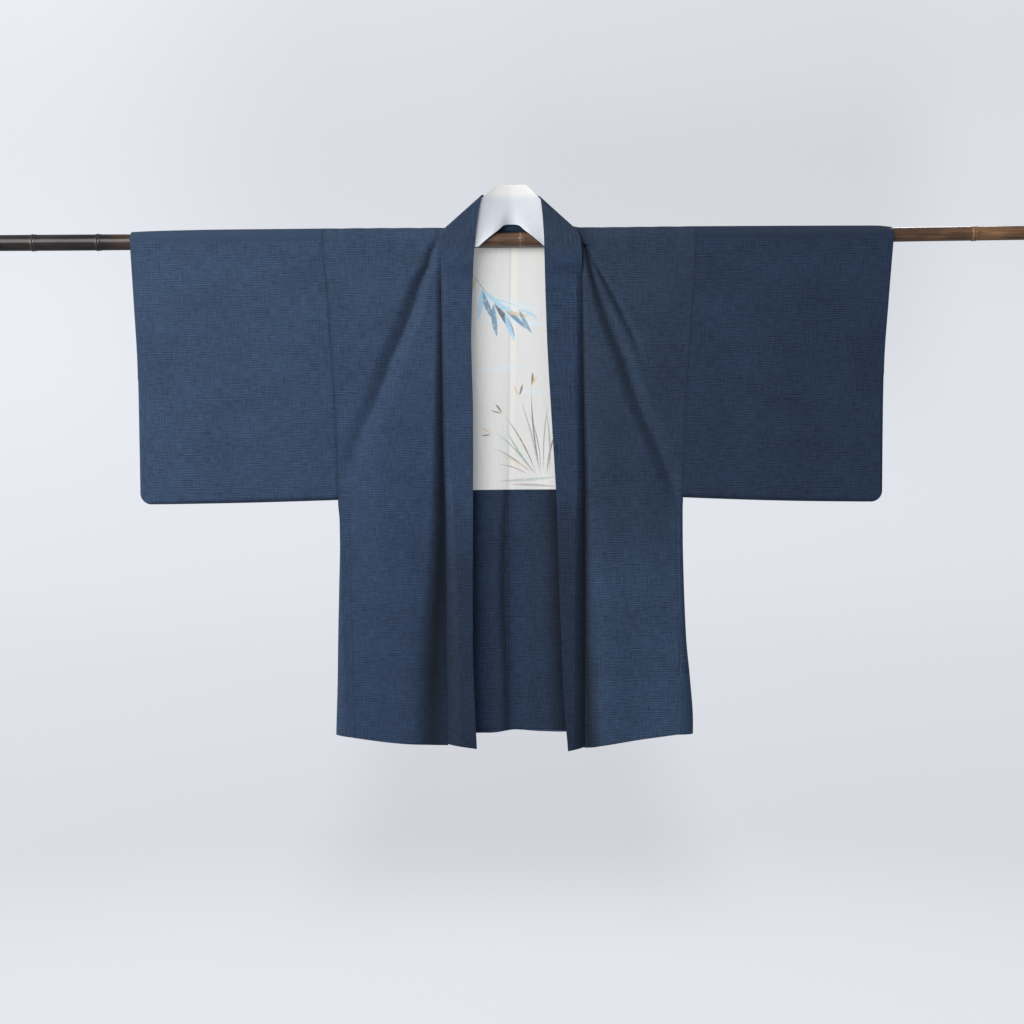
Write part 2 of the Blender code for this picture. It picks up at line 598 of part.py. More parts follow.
def make_gusset(side, material):
    """The wedge between the front's and the back's side edges, from the sleeve down to the hem."""
    name = side_name(side)
    columns = (0.0, 0.2, 0.5, 0.8, 1.0)
    stand_off = GUSSET_CLOTH / 2 + SEAM_GAP
    rows = []
    for row in BODY_ROWS:
        if row.z > SLEEVE_BOTTOM:
            continue
        z = row.z - 0.0014 if row.z == SLEEVE_BOTTOM else row.z
        front = Vector((getattr(row, "front_" + name) + stand_off * 1.3, -row.side_depth, z))
        back = Vector((getattr(row, "back_" + name) + stand_off * 1.1, row.side_depth, z))
        bulge = 0.25 * (row.side_depth - 0.008)
        line = []
        for share in columns:
            point = front.lerp(back, share)
            point.x = side * (point.x + bulge * math.sin(math.pi * share))
            line.append(point)
        rows.append(line)
    wall_from_rows("gusset_" + name, rows, GUSSET_CLOTH, material)


def make_rod(material):
    """Bamboo rod with its rings, turned about the X axis."""
    bevelled = ROD_RADIUS - ROD_END_BEVEL
    stations = [(-ROD_HALF_LENGTH, bevelled), (-ROD_HALF_LENGTH + ROD_END_BEVEL, ROD_RADIUS)]
    for ring in BAMBOO_RINGS:
        for part in RING_PROFILE:
            stations.append((ring.x + part.offset, ROD_RADIUS + ring.height * part.rise))
    stations += [(ROD_HALF_LENGTH - ROD_END_BEVEL, ROD_RADIUS), (ROD_HALF_LENGTH, bevelled)]
    bm = bmesh.new()
    circles = []
    for x, radius in stations:
        circle = []
        for k in range(ROD_SIDES):
            turn = 2 * math.pi * k / ROD_SIDES
            circle.append(bm.verts.new((x, radius * math.cos(turn), radius * math.sin(turn))))
        circles.append(circle)
    for near, far in zip(circles, circles[1:]):
        for k in range(ROD_SIDES):
            bm.faces.new((near[k - 1], near[k], far[k], far[k - 1]))
    bm.faces.new(circles[0])
    bm.faces.new(circles[-1][::-1])
    add_object("bamboo_rod", bm, material)


def main():
    clear_scene()
    materials = {name: make_material(name) for name in FINISHES}
    cloth = materials["navy_cloth"]
    rows = {side: make_body_panel(side, cloth) for side in (LEFT, RIGHT)}
    make_back_layers(rows[LEFT], rows[RIGHT], materials["white_lining"], cloth)
    make_collar(materials["navy_collar"], materials["white_lining"])
    for side in (LEFT, RIGHT):
        make_sleeve(side, cloth)
        make_gusset(side, cloth)
    make_rod(materials["bamboo"])


main()
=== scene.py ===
# %% [markdown]
# # A haori jacket on a bamboo rod
# A haori is a lined jacket that is worn open over a kimono. It is cut from straight lengths of cloth one
# loom wide: two body panels that run over the shoulders without a seam, two square sleeves, a wedge at each
# side, and a long collar. Here it hangs from a bamboo rod pushed through its sleeves.
#
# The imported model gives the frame: the place and size of every piece. This script dresses it, one piece of
# cloth at a time. Lengths are in metres, +Z is up and the jacket's front faces -Y. Long tables of sizes are
# in millimetres.

# %% Load the frame
import math

import bmesh
import bpy
import numpy as np
from mathutils import Matrix, Vector


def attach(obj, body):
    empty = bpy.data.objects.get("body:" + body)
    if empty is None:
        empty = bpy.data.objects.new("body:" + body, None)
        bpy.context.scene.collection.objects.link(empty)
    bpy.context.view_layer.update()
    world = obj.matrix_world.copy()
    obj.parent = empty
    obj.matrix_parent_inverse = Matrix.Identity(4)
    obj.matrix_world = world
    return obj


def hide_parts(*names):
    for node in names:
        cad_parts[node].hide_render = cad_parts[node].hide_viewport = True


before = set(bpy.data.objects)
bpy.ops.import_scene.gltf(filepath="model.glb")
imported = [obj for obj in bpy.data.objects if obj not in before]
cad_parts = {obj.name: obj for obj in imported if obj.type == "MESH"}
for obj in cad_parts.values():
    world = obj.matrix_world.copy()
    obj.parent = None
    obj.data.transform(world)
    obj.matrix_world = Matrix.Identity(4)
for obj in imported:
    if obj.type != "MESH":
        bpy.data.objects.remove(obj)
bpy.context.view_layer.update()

LEFT = -1
RIGHT = 1
SIDE_NAMES = {LEFT: "left", RIGHT: "right"}
scene = bpy.context.scene
print("nodes to dress:", ", ".join(sorted(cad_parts)))

# %% [markdown]
# ## The camera
# The view is square on to the front and level, from about three metres, so the long lens keeps the sleeves
# straight. The camera hangs a fraction of a degree out of true, as a hand-set one does. Its lens is worked
# out from the width of the view where the cloth hangs.

# %% Make the camera
VIEW_WIDTH = 1.761
VIEW_CENTRE = Vector((-0.0026, -0.018, -0.4708))
CAMERA_DISTANCE = 3.2
CAMERA_ROLL = math.radians(-0.45)
SENSOR_MM = 36.0

camera_data = bpy.data.cameras.new("front_camera")
camera_data.sensor_width = SENSOR_MM
camera_data.lens = SENSOR_MM * CAMERA_DISTANCE / VIEW_WIDTH
camera_data.clip_end = 60
camera = bpy.data.objects.new("front_camera", camera_data)
upright = Matrix.Rotation(math.radians(90), 4, "X") @ Matrix.Rotation(CAMERA_ROLL, 4, "Z")
camera.matrix_world = Matrix.Translation(VIEW_CENTRE - Vector((0, CAMERA_DISTANCE, 0))) @ upright
scene.collection.objects.link(camera)
scene.camera = camera
print("lens", round(camera_data.lens, 1), "mm")

# %% [markdown]
# ## Painting with nodes
# A material is a net of nodes: each one takes numbers, colours or other nodes' outputs, and passes its own
# output on to the shader, which is the surface itself. Such a net could be drawn by hand in the editor. The
# same few nodes come back in every cloth here, so a small class lays them, one call for each.

# %% Helper: a material and its sums
class NodeNet:
    """A new material. Its methods add nodes and return their outputs."""

    def __init__(self, name):
        self.material = bpy.data.materials.new(name)
        self.material.use_nodes = True
        self.tree = self.material.node_tree
        self.shader = self.tree.nodes["Principled BSDF"]

    def add(self, kind):
        return self.tree.nodes.new("ShaderNode" + kind)

    def feed(self, node, values, output=0):
        """Links outputs to a node's inputs and sets the other values there. Returns one of its outputs."""
        for name, value in values.items():
            if isinstance(value, bpy.types.NodeSocket):
                self.tree.links.new(value, node.inputs[name])
            else:
                node.inputs[name].default_value = value
        return node.outputs[output]

    def finish(self, values):
        """Sets the shader's inputs, and returns the finished material."""
        self.feed(self.shader, values)
        return self.material

    def calc(self, operation, *values, kind="Math", output=0):
        """One operation on numbers, or on vectors with the kind VectorMath."""
        node = self.add(kind)
        node.operation = operation
        return self.feed(node, dict(enumerate(values)), output)

    def scaled(self, colour, share):
        node = self.add("VectorMath")
        node.operation = "SCALE"
        return self.feed(node, {0: colour, "Scale": share})

    def place(self, kind):
        """Where a point is: Object is its place in the room, and UV its place on the flat cloth."""
        return self.add("TexCoord").outputs[kind]

    def axes(self, place):
        """The X, Y and Z of a place, each as an output."""
        return self.feed(self.add("SeparateXYZ"), {0: place}).node.outputs[:]


# %% Helper: its ranges, colours and patterns
class Paint(NodeNet):
    """A material that can also spread values, blend colours and lay patterns."""

    def spread(self, source, low, high, to_low=0.0, to_high=1.0, steps="LINEAR"):
        """Carries the values from low to high over to another range, and holds them past its ends."""
        node = self.add("MapRange")
        node.interpolation_type = steps
        return self.feed(node, {"Value": source, "From Min": low, "From Max": high,
                                "To Min": to_low, "To Max": to_high})

    def ramp(self, share, stops, steps="LINEAR"):
        """The colours of a ramp, from (position, colour) pairs."""
        node = self.add("ValToRGB")
        node.color_ramp.interpolation = steps
        elements = node.color_ramp.elements
        while len(elements) < len(stops):
            elements.new(0.5)
        for element, (position, colour) in zip(elements, stops):
            element.position = position
            element.color = (*colour, 1)
        return self.feed(node, {"Fac": share})

    def stretched(self, place, stretch):
        return self.feed(self.add("Mapping"), {"Vector": place, "Scale": stretch})

    def noise(self, place, stretch, detail=3.0):
        """Soft spots, and thin streaks where one axis is stretched much more than the other."""
        return self.feed(self.add("TexNoise"), {"Vector": self.stretched(place, stretch), "Scale": 1.0,
                                                "Detail": detail}, "Fac")

    def light(self):
        """How light each point of a piece is painted: painted light and shade on the cloth, and the bamboo's
        own lighter rings and ends.
        """
        node = self.add("Attribute")
        node.attribute_name = "light"
        return node.outputs["Fac"]

    def lay(self, under, over, share):
        """Lays the plain colour 'over' on the colour 'under', by a share."""
        node = self.add("Mix")
        node.data_type = "RGBA"
        node.clamp_factor = True
        return self.feed(node, {"Factor": share, "A": under, "B": (*over, 1)}, "Result")

    def raised(self, height, strength, distance):
        """A surface that is raised by a height, for the shader's Normal."""
        return self.feed(self.add("Bump"), {"Height": height, "Strength": strength, "Distance": distance})


# %% Helper: put a mesh in the scene
def add_object(name, bm, material):
    mesh = bpy.data.meshes.new(name)
    bm.to_mesh(mesh)
    bm.free()
    mesh.materials.append(material)
    mesh.shade_smooth()
    item = bpy.data.objects.new(name, mesh)
    scene.collection.objects.link(item)
    return item


# %% Helper: turn an outline round an axis
def turned(bm, line, axis, steps, weld):
    """Spins a line of vertices right round an axis through the origin into a closed skin."""
    edges = [bm.edges.new(pair) for pair in zip(line, line[1:])]
    bmesh.ops.spin(bm, geom=line + edges, cent=(0, 0, 0), axis=axis, angle=math.tau, steps=steps,
                   use_merge=True)
    bmesh.ops.remove_doubles(bm, verts=bm.verts, dist=weld)
    bmesh.ops.recalc_face_normals(bm, faces=bm.faces)


# %% [markdown]
# ## The studio
# In a studio such a jacket hangs in front of an infinity cove, a wall that curves into the floor so that
# no line shows. A floor and a wall with a rounded corner would do for one view. Here the cove is a whole
# bowl, turned about an upright axis, so it stays plain from every side. All its brightness is its own glow,
# with painted light and a painted shadow of the jacket in it. It neither lights nor shades the jacket: the
# lamps do that.

# %% Turn the bowl
BOWL_RADIUS = 7.0
BOWL_CURVE = 2.5
BOWL_HEIGHT = 7.0
BOWL_STEPS = 12
BOWL_SIDES = 64
FLOOR_Z = -1.75

bm = bmesh.new()
curve_start = BOWL_RADIUS - BOWL_CURVE
profile = [bm.verts.new((0, 0, FLOOR_Z)), bm.verts.new((curve_start, 0, FLOOR_Z))]
for step in range(1, BOWL_STEPS + 1):
    turn = math.pi / 2 * step / BOWL_STEPS
    x = curve_start + BOWL_CURVE * math.sin(turn)
    profile.append(bm.verts.new((x, 0, FLOOR_Z + BOWL_CURVE * (1 - math.cos(turn)))))
profile.append(bm.verts.new((BOWL_RADIUS, 0, BOWL_HEIGHT)))
turned(bm, profile, (0, 0, 1), BOWL_SIDES, weld=0.0001)
bmesh.ops.reverse_faces(bm, faces=bm.faces)
print("studio bowl", len(bm.faces), "faces")

# %% The tones of its paper
# Brightness along its profile, with painted light and shade in it: metres out across the floor, then on up
# the wall
PAPER_TONES = [(0.0, 0.79), (1.7, 0.79), (2.7, 0.779), (3.9, 0.705), (4.6, 0.706), (5.3, 0.710), (6.0, 0.730),
               (6.6, 0.732), (7.2, 0.766), (7.8, 0.785), (8.4, 0.786), (9.2, 0.755), (10.2, 0.69),
               (11.2, 0.755), (14.0, 0.79)]
PAPER_REACH = 14.0
PAPER_TINT = np.array([0.974, 1.0, 1.067])
# Each of these goes from one place to another, in metres, and from one value to another
# These paint light and shade on the paper: lighter to the left, glows at both sides, painted shade above the
# right sleeve and a painted shadow of the jacket low down behind it
SIDEWAYS = (-4.0, 4.0, 1.055, 0.965)
LEFT_GLOW = (-2.6, -0.9, 0.110, 0.0)
LEFT_GLOW_UP = (-0.6, 0.8, 0.0, 1.0)
RIGHT_GLOW = (1.85, 2.5, 0.0, 0.095)
HIGH_START = (-0.2, 0.6, 0.0, 1.0)
HIGH_END = (1.45, 1.95, 1.0, 0.3)
RIGHT_PAINTED_SHADE = (-0.3, 0.3, 0.0, -0.045)
PAINTED_SHADOW_ACROSS = (0.42, 0.90, -0.092, 0.0)
PAINTED_SHADOW_START = (0.2, 2.2, 0.0, 1.0)
PAINTED_SHADOW_END = (4.6, 5.9, 1.0, 0.0)
print("paper tones from", min(tone for _, tone in PAPER_TONES), "to", max(tone for _, tone in PAPER_TONES))

# %% Paint its paper
paper = Paint("studio_paper")
place = paper.place("Object")
across, _, up = paper.axes(place)
level = paper.calc("MULTIPLY", place, (1, 1, 0), kind="VectorMath")
along = paper.calc("ADD", paper.calc("LENGTH", level, kind="VectorMath", output="Value"), up)
tones = paper.ramp(paper.spread(along, FLOOR_Z, FLOOR_Z + PAPER_REACH),
                   [(metres / PAPER_REACH, tone * PAPER_TINT) for metres, tone in PAPER_TONES], "B_SPLINE")


def stepped(source, ends):
    return paper.spread(source, *ends, steps="SMOOTHSTEP")


def one_plus(first, second):
    return paper.calc("MULTIPLY_ADD", first, second, 1.0)


# Painted light and shade: lighter to the left and high up at both sides, darker above one sleeve, and a
# painted shadow of the jacket low down behind it
high = paper.calc("MULTIPLY", stepped(up, HIGH_START), stepped(up, HIGH_END))
low = paper.calc("MULTIPLY", stepped(along, PAINTED_SHADOW_START), stepped(along, PAINTED_SHADOW_END))
tone = paper.spread(across, *SIDEWAYS)
for factor in (
    one_plus(stepped(across, LEFT_GLOW), stepped(up, LEFT_GLOW_UP)),
    one_plus(low, stepped(paper.calc("ABSOLUTE", across), PAINTED_SHADOW_ACROSS)),
    one_plus(stepped(across, RIGHT_GLOW), high),
    one_plus(stepped(across, RIGHT_PAINTED_SHADE), high),
):
    tone = paper.calc("MULTIPLY", tone, factor)
bowl = add_object("studio_bowl", bm, paper.finish({
    "Base Color": (0.0, 0.0, 0.0, 1), "Roughness": 1.0, "Specular IOR Level": 0.0,
    "Emission Color": paper.scaled(tones, tone), "Emission Strength": 1.0}))
bowl.visible_diffuse = False
bowl.visible_glossy = False
bowl.visible_shadow = False
print("paper of", len(paper.tree.nodes), "nodes")

# %% Light it from the left
LAMP_AIM = Vector((0.0, 0.0, -0.40))
# Name, place, width, height and power of each lamp
LAMPS = [
    ("key_lamp", (-1.5, -2.5, 0.9), 2.6, 2.0, 84.0),
    ("raking_lamp", (-2.3, -0.95, 0.25), 0.8, 1.0, 26.0),
    ("back_lamp", (0.5, 2.8, 1.4), 2.2, 1.6, 60.0),
]
for name, place, width, height, power in LAMPS:
    light = bpy.data.lights.new(name, "AREA")
    light.shape = "RECTANGLE"
    light.size = width
    light.size_y = height
    light.energy = power
    lamp = bpy.data.objects.new(name, light)
    turn = (LAMP_AIM - Vector(place)).to_track_quat("-Z", "Y").to_matrix().to_4x4()
    lamp.matrix_world = Matrix.Translation(place) @ turn
    lamp.visible_camera = False
    scene.collection.objects.link(lamp)

world = bpy.data.worlds.new("studio_air")
world.use_nodes = True
world.node_tree.nodes["Background"].inputs["Color"].default_value = (0.80, 0.86, 1.0, 1)
world.node_tree.nodes["Background"].inputs["Strength"].default_value = 0.36
scene.world = world
scene.view_settings.view_transform = "Standard"
print(len(LAMPS), "lamps")

# %% [markdown]
# ## Reading a pattern cutter's tables
# The cloth is described by tables: at a few heights, how far out an edge is, or how deep a fold sinks. A
# straight line between the rows would leave a kink at each of them. A cubic curve through the rows is
# smooth, and with harmonic mean slopes it never swings past the measured values.

# %% Helper: a smooth curve through measured values
def curve(at, values, where):
    """Values at the places 'where', on a smooth curve through (at, values). It is level past its ends."""
    at = np.asarray(at, dtype=float)
    values = np.asarray(values, dtype=float)
    if at[0] > at[-1]:
        at, values = at[::-1], values[::-1]
    spread = (1,) * (values.ndim - 1)
    rise = np.diff(values, axis=0) / np.diff(at).reshape((-1,) + spread)
    same_way = rise[:-1] * rise[1:] > 0
    total = np.where(same_way, rise[:-1] + rise[1:], 1.0)
    middle = np.where(same_way, 2 * rise[:-1] * rise[1:] / total, 0.0)
    slopes = np.concatenate([rise[:1], middle, rise[-1:]])
    where = np.clip(np.asarray(where, dtype=float), at[0], at[-1])
    k = np.clip(np.searchsorted(at, where, side="right") - 1, 0, len(at) - 2)
    width = (at[k + 1] - at[k]).reshape(where.shape + spread)
    share = (where - at[k]).reshape(where.shape + spread) / width
    back = 1 - share
    steady = values[k] * back ** 2 * (1 + 2 * share) + values[k + 1] * share ** 2 * (1 + 2 * back)
    return steady + width * share * back * (slopes[k] * back - slopes[k + 1] * share)


# %% Helpers: tables, mixing and easing
def table(names, *rows):
    """The columns of a table by name. The rows are given in millimetres, and the columns are in metres."""
    return dict(zip(names.split(), np.array(rows, dtype=float).T / 1000))


def read(rows, z, name, side=None):
    """A table column's value at each height z. Columns for one side end in the side's name."""
    if side:
        name = name + "_" + SIDE_NAMES[side]
    return curve(rows["z"], rows[name], z)


def mix(start, end, share):
    return start + (end - start) * share


def ease(value):
    """0 below 0, 1 above 1, and a smooth rise between."""
    value = np.clip(value, 0.0, 1.0)
    return value * value * (3.0 - 2.0 * value)


# %% [markdown]
# ## The jacket's measures
# Distances are taken from the jacket's middle plane. The body cloth bends over the rod at a small gap from
# it, and each layer keeps a hair's breadth from the next, so that nothing in the model touches or crosses.

# %% Sizes that the pieces share
ROD_RADIUS = 0.0124
ROD_HALF_LENGTH = 0.905
SEAM_GAP = 0.0001
LAYER_GAP = 0.0004
BODY_CLOTH = 0.0016
SLEEVE_CLOTH = 0.0015
COLLAR_CLOTH = 0.0020
LINING_CLOTH = 0.0010
DRAPE_RADIUS = 0.01385
QUARTER_TURN = DRAPE_RADIUS * math.pi / 2
SLEEVE_BOTTOM = -0.447
CUFF_END = -0.230
LINING_TOP = -0.0118
LINING_HEM = -0.433
SIDE_HEM = -0.8535
BACK_HEM = -0.8490
SEAM_HEM = {LEFT: -0.8700, RIGHT: -0.8765}
TIP_HEM = {LEFT: -0.8775, RIGHT: -0.8825}

# %% The body by height
# How far the cloth hangs from the rod's axis at the side, in front and behind. Then for each side, how far
# out the front and the back reach, and the seam and the free edge of the collar strip.
BODY = table(
    "z side front back front_left back_left seam_left edge_left front_right back_right seam_right edge_right",
    (-15, 13.8, 13.8, 13.8, 324.2, 324.2, 121, 64.4, 317.5, 317.5, 120.6, 56.2),
    (-35, 13.6, 14, 13.9, 322.3, 322.3, 121.2, 65.3, 316.8, 316.8, 120.9, 56.6),
    (-70, 13.2, 14.4, 14, 319, 319, 121.5, 66.9, 314.4, 314.4, 121.3, 57.4),
    (-120, 12.6, 15, 14.1, 315, 315, 121.8, 69, 311, 311, 121.7, 58.6),
    (-175, 11.9, 15.5, 14.3, 312, 312, 121.8, 70.5, 307.3, 307.3, 121.9, 60.2),
    (-230, 11.2, 16, 14.5, 308.5, 308.5, 121.8, 69.5, 302.6, 302.6, 122.2, 62.6),
    (-295, 10.4, 16.6, 14.8, 305.6, 305.6, 121.6, 68.3, 298.2, 298.2, 122.6, 66.2),
    (-365, 9.6, 17.2, 15.1, 303.4, 303.4, 120.2, 68.6, 294.6, 294.6, 122.9, 70),
    (-433, 9, 17.8, 15.4, 302, 302, 118.2, 69.3, 292.2, 292.2, 123.2, 73.6),
    (-447, 9, 18, 15.5, 301.7, 301.7, 117.7, 69.4, 291.7, 291.7, 123.2, 74.2),
    (-520, 11, 18.8, 16, 295.5, 296.5, 117.2, 70.1, 287.5, 288.3, 122.8, 76.4),
    (-600, 14, 19.8, 16.8, 294.5, 298, 116.9, 70.8, 287, 289, 122.3, 78.2),
    (-690, 17.5, 21, 17.8, 291.5, 300, 116.5, 71.4, 285, 292.5, 121.6, 81.3),
    (-780, 21, 22, 19, 287.5, 302.5, 116.2, 69, 281.5, 298, 120.8, 84.8),
    (-853.5, 24, 23, 20, 284, 304.8, 115.9, 66, 278, 302.5, 119.9, 90.4),
)
HEIGHTS = BODY["z"]
print(len(HEIGHTS), "heights down the body")

# %% [markdown]
# The collar hangs down each front as a strip. Its seam with the front sinks into a groove, deeper on the
# right, where the strip has slid under the front's edge.

# %% The groove beside the collar strips
# Its depth at the seam, and how far it reaches into the strip and into the front
GROOVE = table(
    "z depth_left strip_left front_left depth_right strip_right front_right",
    (-15, 0, 6, 8, 0, 6, 8), (-70, 4, 8, 9, 4.5, 10, 8), (-175, 6, 8, 10, 8.5, 13, 8),
    (-280, 8.5, 10, 13, 11, 14, 9), (-365, 11, 11, 18, 12.5, 14, 11), (-480, 13, 15, 26, 13.5, 17, 13),
    (-600, 14, 20, 38, 14.5, 19, 15), (-700, 13.5, 22, 48, 14.5, 20, 16), (-880, 12.5, 24, 56, 14, 20, 17),
)
CREASE_POWER = 1.6


def groove(side, z, off_seam):
    """How deep the cloth sinks beside the seam: off_seam is above 0 in the front and below 0 in the strip."""
    reach = np.where(off_seam > 0, read(GROOVE, z, "front", side), read(GROOVE, z, "strip", side))
    near = np.maximum(0.0, 1.0 - np.abs(off_seam) / reach)
    return read(GROOVE, z, "depth", side) * near ** CREASE_POWER


print("deepest groove in mm:", [round(1000 * float(GROOVE[name].max()), 1)
                                for name in ("depth_left", "depth_right")])


# %% [markdown]
# ## Folds
# Cloth this light never hangs flat. Each fold is a line down the panel, given at a few heights: where the
# line is, how far the fold reaches towards the middle and towards the side, and how deep it sinks. A
# negative depth stands out as a roll. 'Keen' folds come to a crease in the middle; the rest are round.

# %% Helpers: a fold, and the depth of several
def fold(keen, *rows):
    return {"keen": keen, **table("z x inner outer depth", *rows)}


def fold_depth(folds, x, z):
    """Sum of the folds' depths at places on a panel."""
    total = np.zeros(np.shape(x))
    for line in folds:
        off = x - read(line, z, "x")
        reach = np.where(off < 0, read(line, z, "inner"), read(line, z, "outer"))
        near = 1.0 - np.clip(np.abs(off) / reach, 0.0, 1.0)
        total += read(line, z, "depth") * mix(near ** 2 * (3 - 2 * near), near ** CREASE_POWER, line["keen"])
    return total


# %% Folds of the two fronts
FRONT_FOLDS = {
    LEFT: [
        fold(0.6, (4, 124, 4, 6, 0), (-14, 134.5, 8, 13, 3), (-46, 144, 16, 18, 6),
             (-70, 154.5, 18, 22, 7.8), (-139, 178.5, 26, 29, 8.5), (-208, 208.8, 30, 30, 7.5),
             (-276, 234, 32, 32, 5.8), (-345, 266.5, 34, 28, 4.2), (-420, 288, 30, 28, 0)),
        fold(0, (-330, 150, 26, 30, 0), (-480, 150, 26, 34, 1.2), (-621, 150, 30, 34, 3.4),
             (-776, 150, 34, 40, 5), (-880, 150, 36, 44, 5.5)),
        fold(0.2, (-440, 250, 50, 40, 0), (-474, 215, 60, 60, 1.1), (-500, 190, 50, 50, 0)),
    ],
    RIGHT: [
        fold(0.6, (6, 121.5, 4, 4, 0), (-20, 130.5, 7, 6, 4), (-47, 146, 9, 8, 5.6), (-73, 161, 10, 10, 6),
             (-107, 180, 11, 10, 5.4), (-142, 196.5, 12, 10, 4.4), (-176, 212.5, 12, 10, 3),
             (-225, 229, 12, 10, 0)),
        fold(0.45, (0, 123, 5, 5, 0), (-22, 129, 7, 8, 4.5), (-73, 142, 10, 12, 7),
             (-142, 166, 19, 18, 8.5), (-211, 193.5, 24, 20, 9), (-280, 215, 24, 24, 8.5),
             (-349, 244, 24, 28, 7.2), (-418, 271, 24, 24, 4), (-470, 287, 24, 18, 0)),
        fold(0, (-100, 150, 30, 40, 0), (-300, 155, 30, 50, -1.5), (-880, 160, 36, 60, -2.5)),
        fold(0, (-520, 230, 50, 50, 0), (-700, 222, 55, 50, 1.4), (-880, 216, 60, 50, 2)),
    ],
}
print("folds of the fronts:", [len(folds) for folds in FRONT_FOLDS.values()])

# %% Folds of the back
BACK_FOLDS = {
    LEFT: [
        fold(0, (-150, 20, 30, 30, 0), (-450, 24, 32, 32, 3), (-855, 28, 34, 34, 6)),
        fold(0, (-20, 150, 30, 30, 0), (-120, 180, 36, 36, 4), (-300, 238, 44, 44, 5),
             (-440, 275, 44, 44, 0)),
        fold(0, (-420, 150, 50, 50, 0), (-650, 140, 60, 60, 6), (-855, 135, 64, 64, 9)),
    ],
    RIGHT: [
        fold(0, (-300, 68, 30, 30, 0), (-550, 72, 36, 36, 5), (-855, 78, 40, 40, 8)),
        fold(0, (-20, 140, 30, 30, 0), (-110, 168, 34, 34, 4), (-260, 215, 44, 44, 5),
             (-420, 262, 44, 44, 0)),
        fold(0, (-460, 190, 50, 50, 0), (-680, 185, 60, 60, 5), (-855, 180, 64, 64, 8)),
    ],
}
print("folds of the back:", [len(folds) for folds in BACK_FOLDS.values()])

# %% Helpers: where the fronts and the back hang
# Folds fade out this close to a side edge and to the top
SIDE_PIN = 0.016
TOP_PIN = 0.012
# Share of a panel's width over which it rounds out from its side edge
FRONT_ROUNDING = 0.45
BACK_ROUNDING = 0.40
HAIR = 1e-6


def front_depth(side, x, z):
    """How far in front of the rod's axis the front hangs at distance x from the middle."""
    seam = read(BODY, z, "seam", side)
    edge = read(BODY, z, "front", side)
    rise = ease((edge - x) / (FRONT_ROUNDING * (edge - seam)))
    base = mix(read(BODY, z, "side"), read(BODY, z, "front"), rise)
    folds = ease((edge - x) / SIDE_PIN) * ease(-z / TOP_PIN) * fold_depth(FRONT_FOLDS[side], x, z)
    return base - folds - groove(side, z, np.maximum(x - seam, HAIR))


def back_depth(side, x, z):
    """How far behind the rod's axis the back hangs at distance x from the middle."""
    edge = read(BODY, z, "back", side)
    rise = ease((edge - x) / (BACK_ROUNDING * edge))
    base = mix(read(BODY, z, "side"), read(BODY, z, "back"), rise)
    return base - ease((edge - x) / SIDE_PIN) * ease(x / SIDE_PIN) * fold_depth(BACK_FOLDS[side], x, z)


def hem_drop(z, deeper_hem):
    """Height of a row at its inner end, where the hem hangs at deeper_hem instead of SIDE_HEM."""
    return z + (deeper_hem - SIDE_HEM) * (z / SIDE_HEM) ** 2


print("left front hangs at", round(1000 * float(front_depth(LEFT, 0.2, -0.5)), 1), "mm at half height")


# %% [markdown]
# ## Shade in the creases
# Daylight hardly reaches the bottom of a crease, while wide studio lamps fill it. A harder lamp would bring
# the dark back, but hard shadows too. So each point of the cloth carries a share of light instead, given by
# the same kind of rows as a fold: the last number is the light that is lost, in thousandths, or won if it
# is below 0.

# %% Shade on the fronts and on the facing of the back
FRONT_SHADES = {
    LEFT: [
        fold(0.3, (-40, 122.2, 6, 10, 0), (-105, 121.5, 8, 12, 440), (-275, 121.2, 12, 21, 680),
             (-485, 126.2, 24, 24, 780), (-620, 132.5, 37, 33, 850), (-760, 139.5, 52, 37, 840),
             (-880, 141, 52, 40, 660)),
        fold(0.7, (12, 125, 4, 4, 0), (4, 128.5, 5, 7, 340), (-14, 137.5, 10, 10, 400),
             (-46, 149, 14, 12, 420), (-70, 163.5, 18, 14, 380), (-139, 186.5, 20, 20, 300),
             (-208, 217.5, 18, 22, 220), (-345, 275, 18, 22, 160), (-400, 295, 16, 16, 0)),
    ],
    RIGHT: [
        fold(0.4, (-40, 122.5, 10, 10, 0), (-107, 122.5, 12, 11, 220), (-280, 122.5, 13, 12, 460),
             (-485, 123.2, 15, 17, 680), (-620, 123.5, 16, 21, 680), (-800, 126.5, 19, 25, 800),
             (-880, 127.5, 19, 27, 800)),
        fold(0.6, (10, 120, 4, 4, 0), (-4, 123.5, 6, 6, 460), (-47, 133, 8, 14, 600),
             (-73, 139, 8, 14, 500), (-142, 159, 16, 20, 300), (-211, 185.5, 16, 18, 300),
             (-280, 206.5, 20, 20, 240), (-400, 256, 20, 20, 100), (-450, 275, 20, 14, 0)),
        fold(0.6, (-30, 137, 5, 5, 0), (-73, 156, 9, 8, 340), (-107, 173, 13, 9, 340),
             (-142, 190, 12, 9, 260), (-176, 206, 10, 9, 160), (-230, 225, 9, 8, 0)),
    ],
}
# On the facing, places to the left of the middle are below 0
BACK_SHADES = [
    fold(0.3, (-433, -12.5, 9, 5, 500), (-530, -18, 13, 8, 600), (-630, -20, 14, 10, 620),
         (-730, -16, 12, 6, 580), (-850, -14.5, 14, 7, 460)),
    fold(0, (-433, 78, 46, 30, 620), (-850, 80, 40, 30, 500)),
    fold(0, (-433, -60, 30, 28, -260), (-850, -60, 30, 28, -260)),
    fold(0, (-433, 12, 20, 30, -140), (-850, 12, 20, 30, -140)),
]
print("shaded creases:", [len(shades) for shades in (*FRONT_SHADES.values(), BACK_SHADES)])

# %% Helpers: the share of light at points of a piece
MOST_SHADE = 0.85
SEAM_SHADE = 0.24
SEAM_REACH = 0.0042


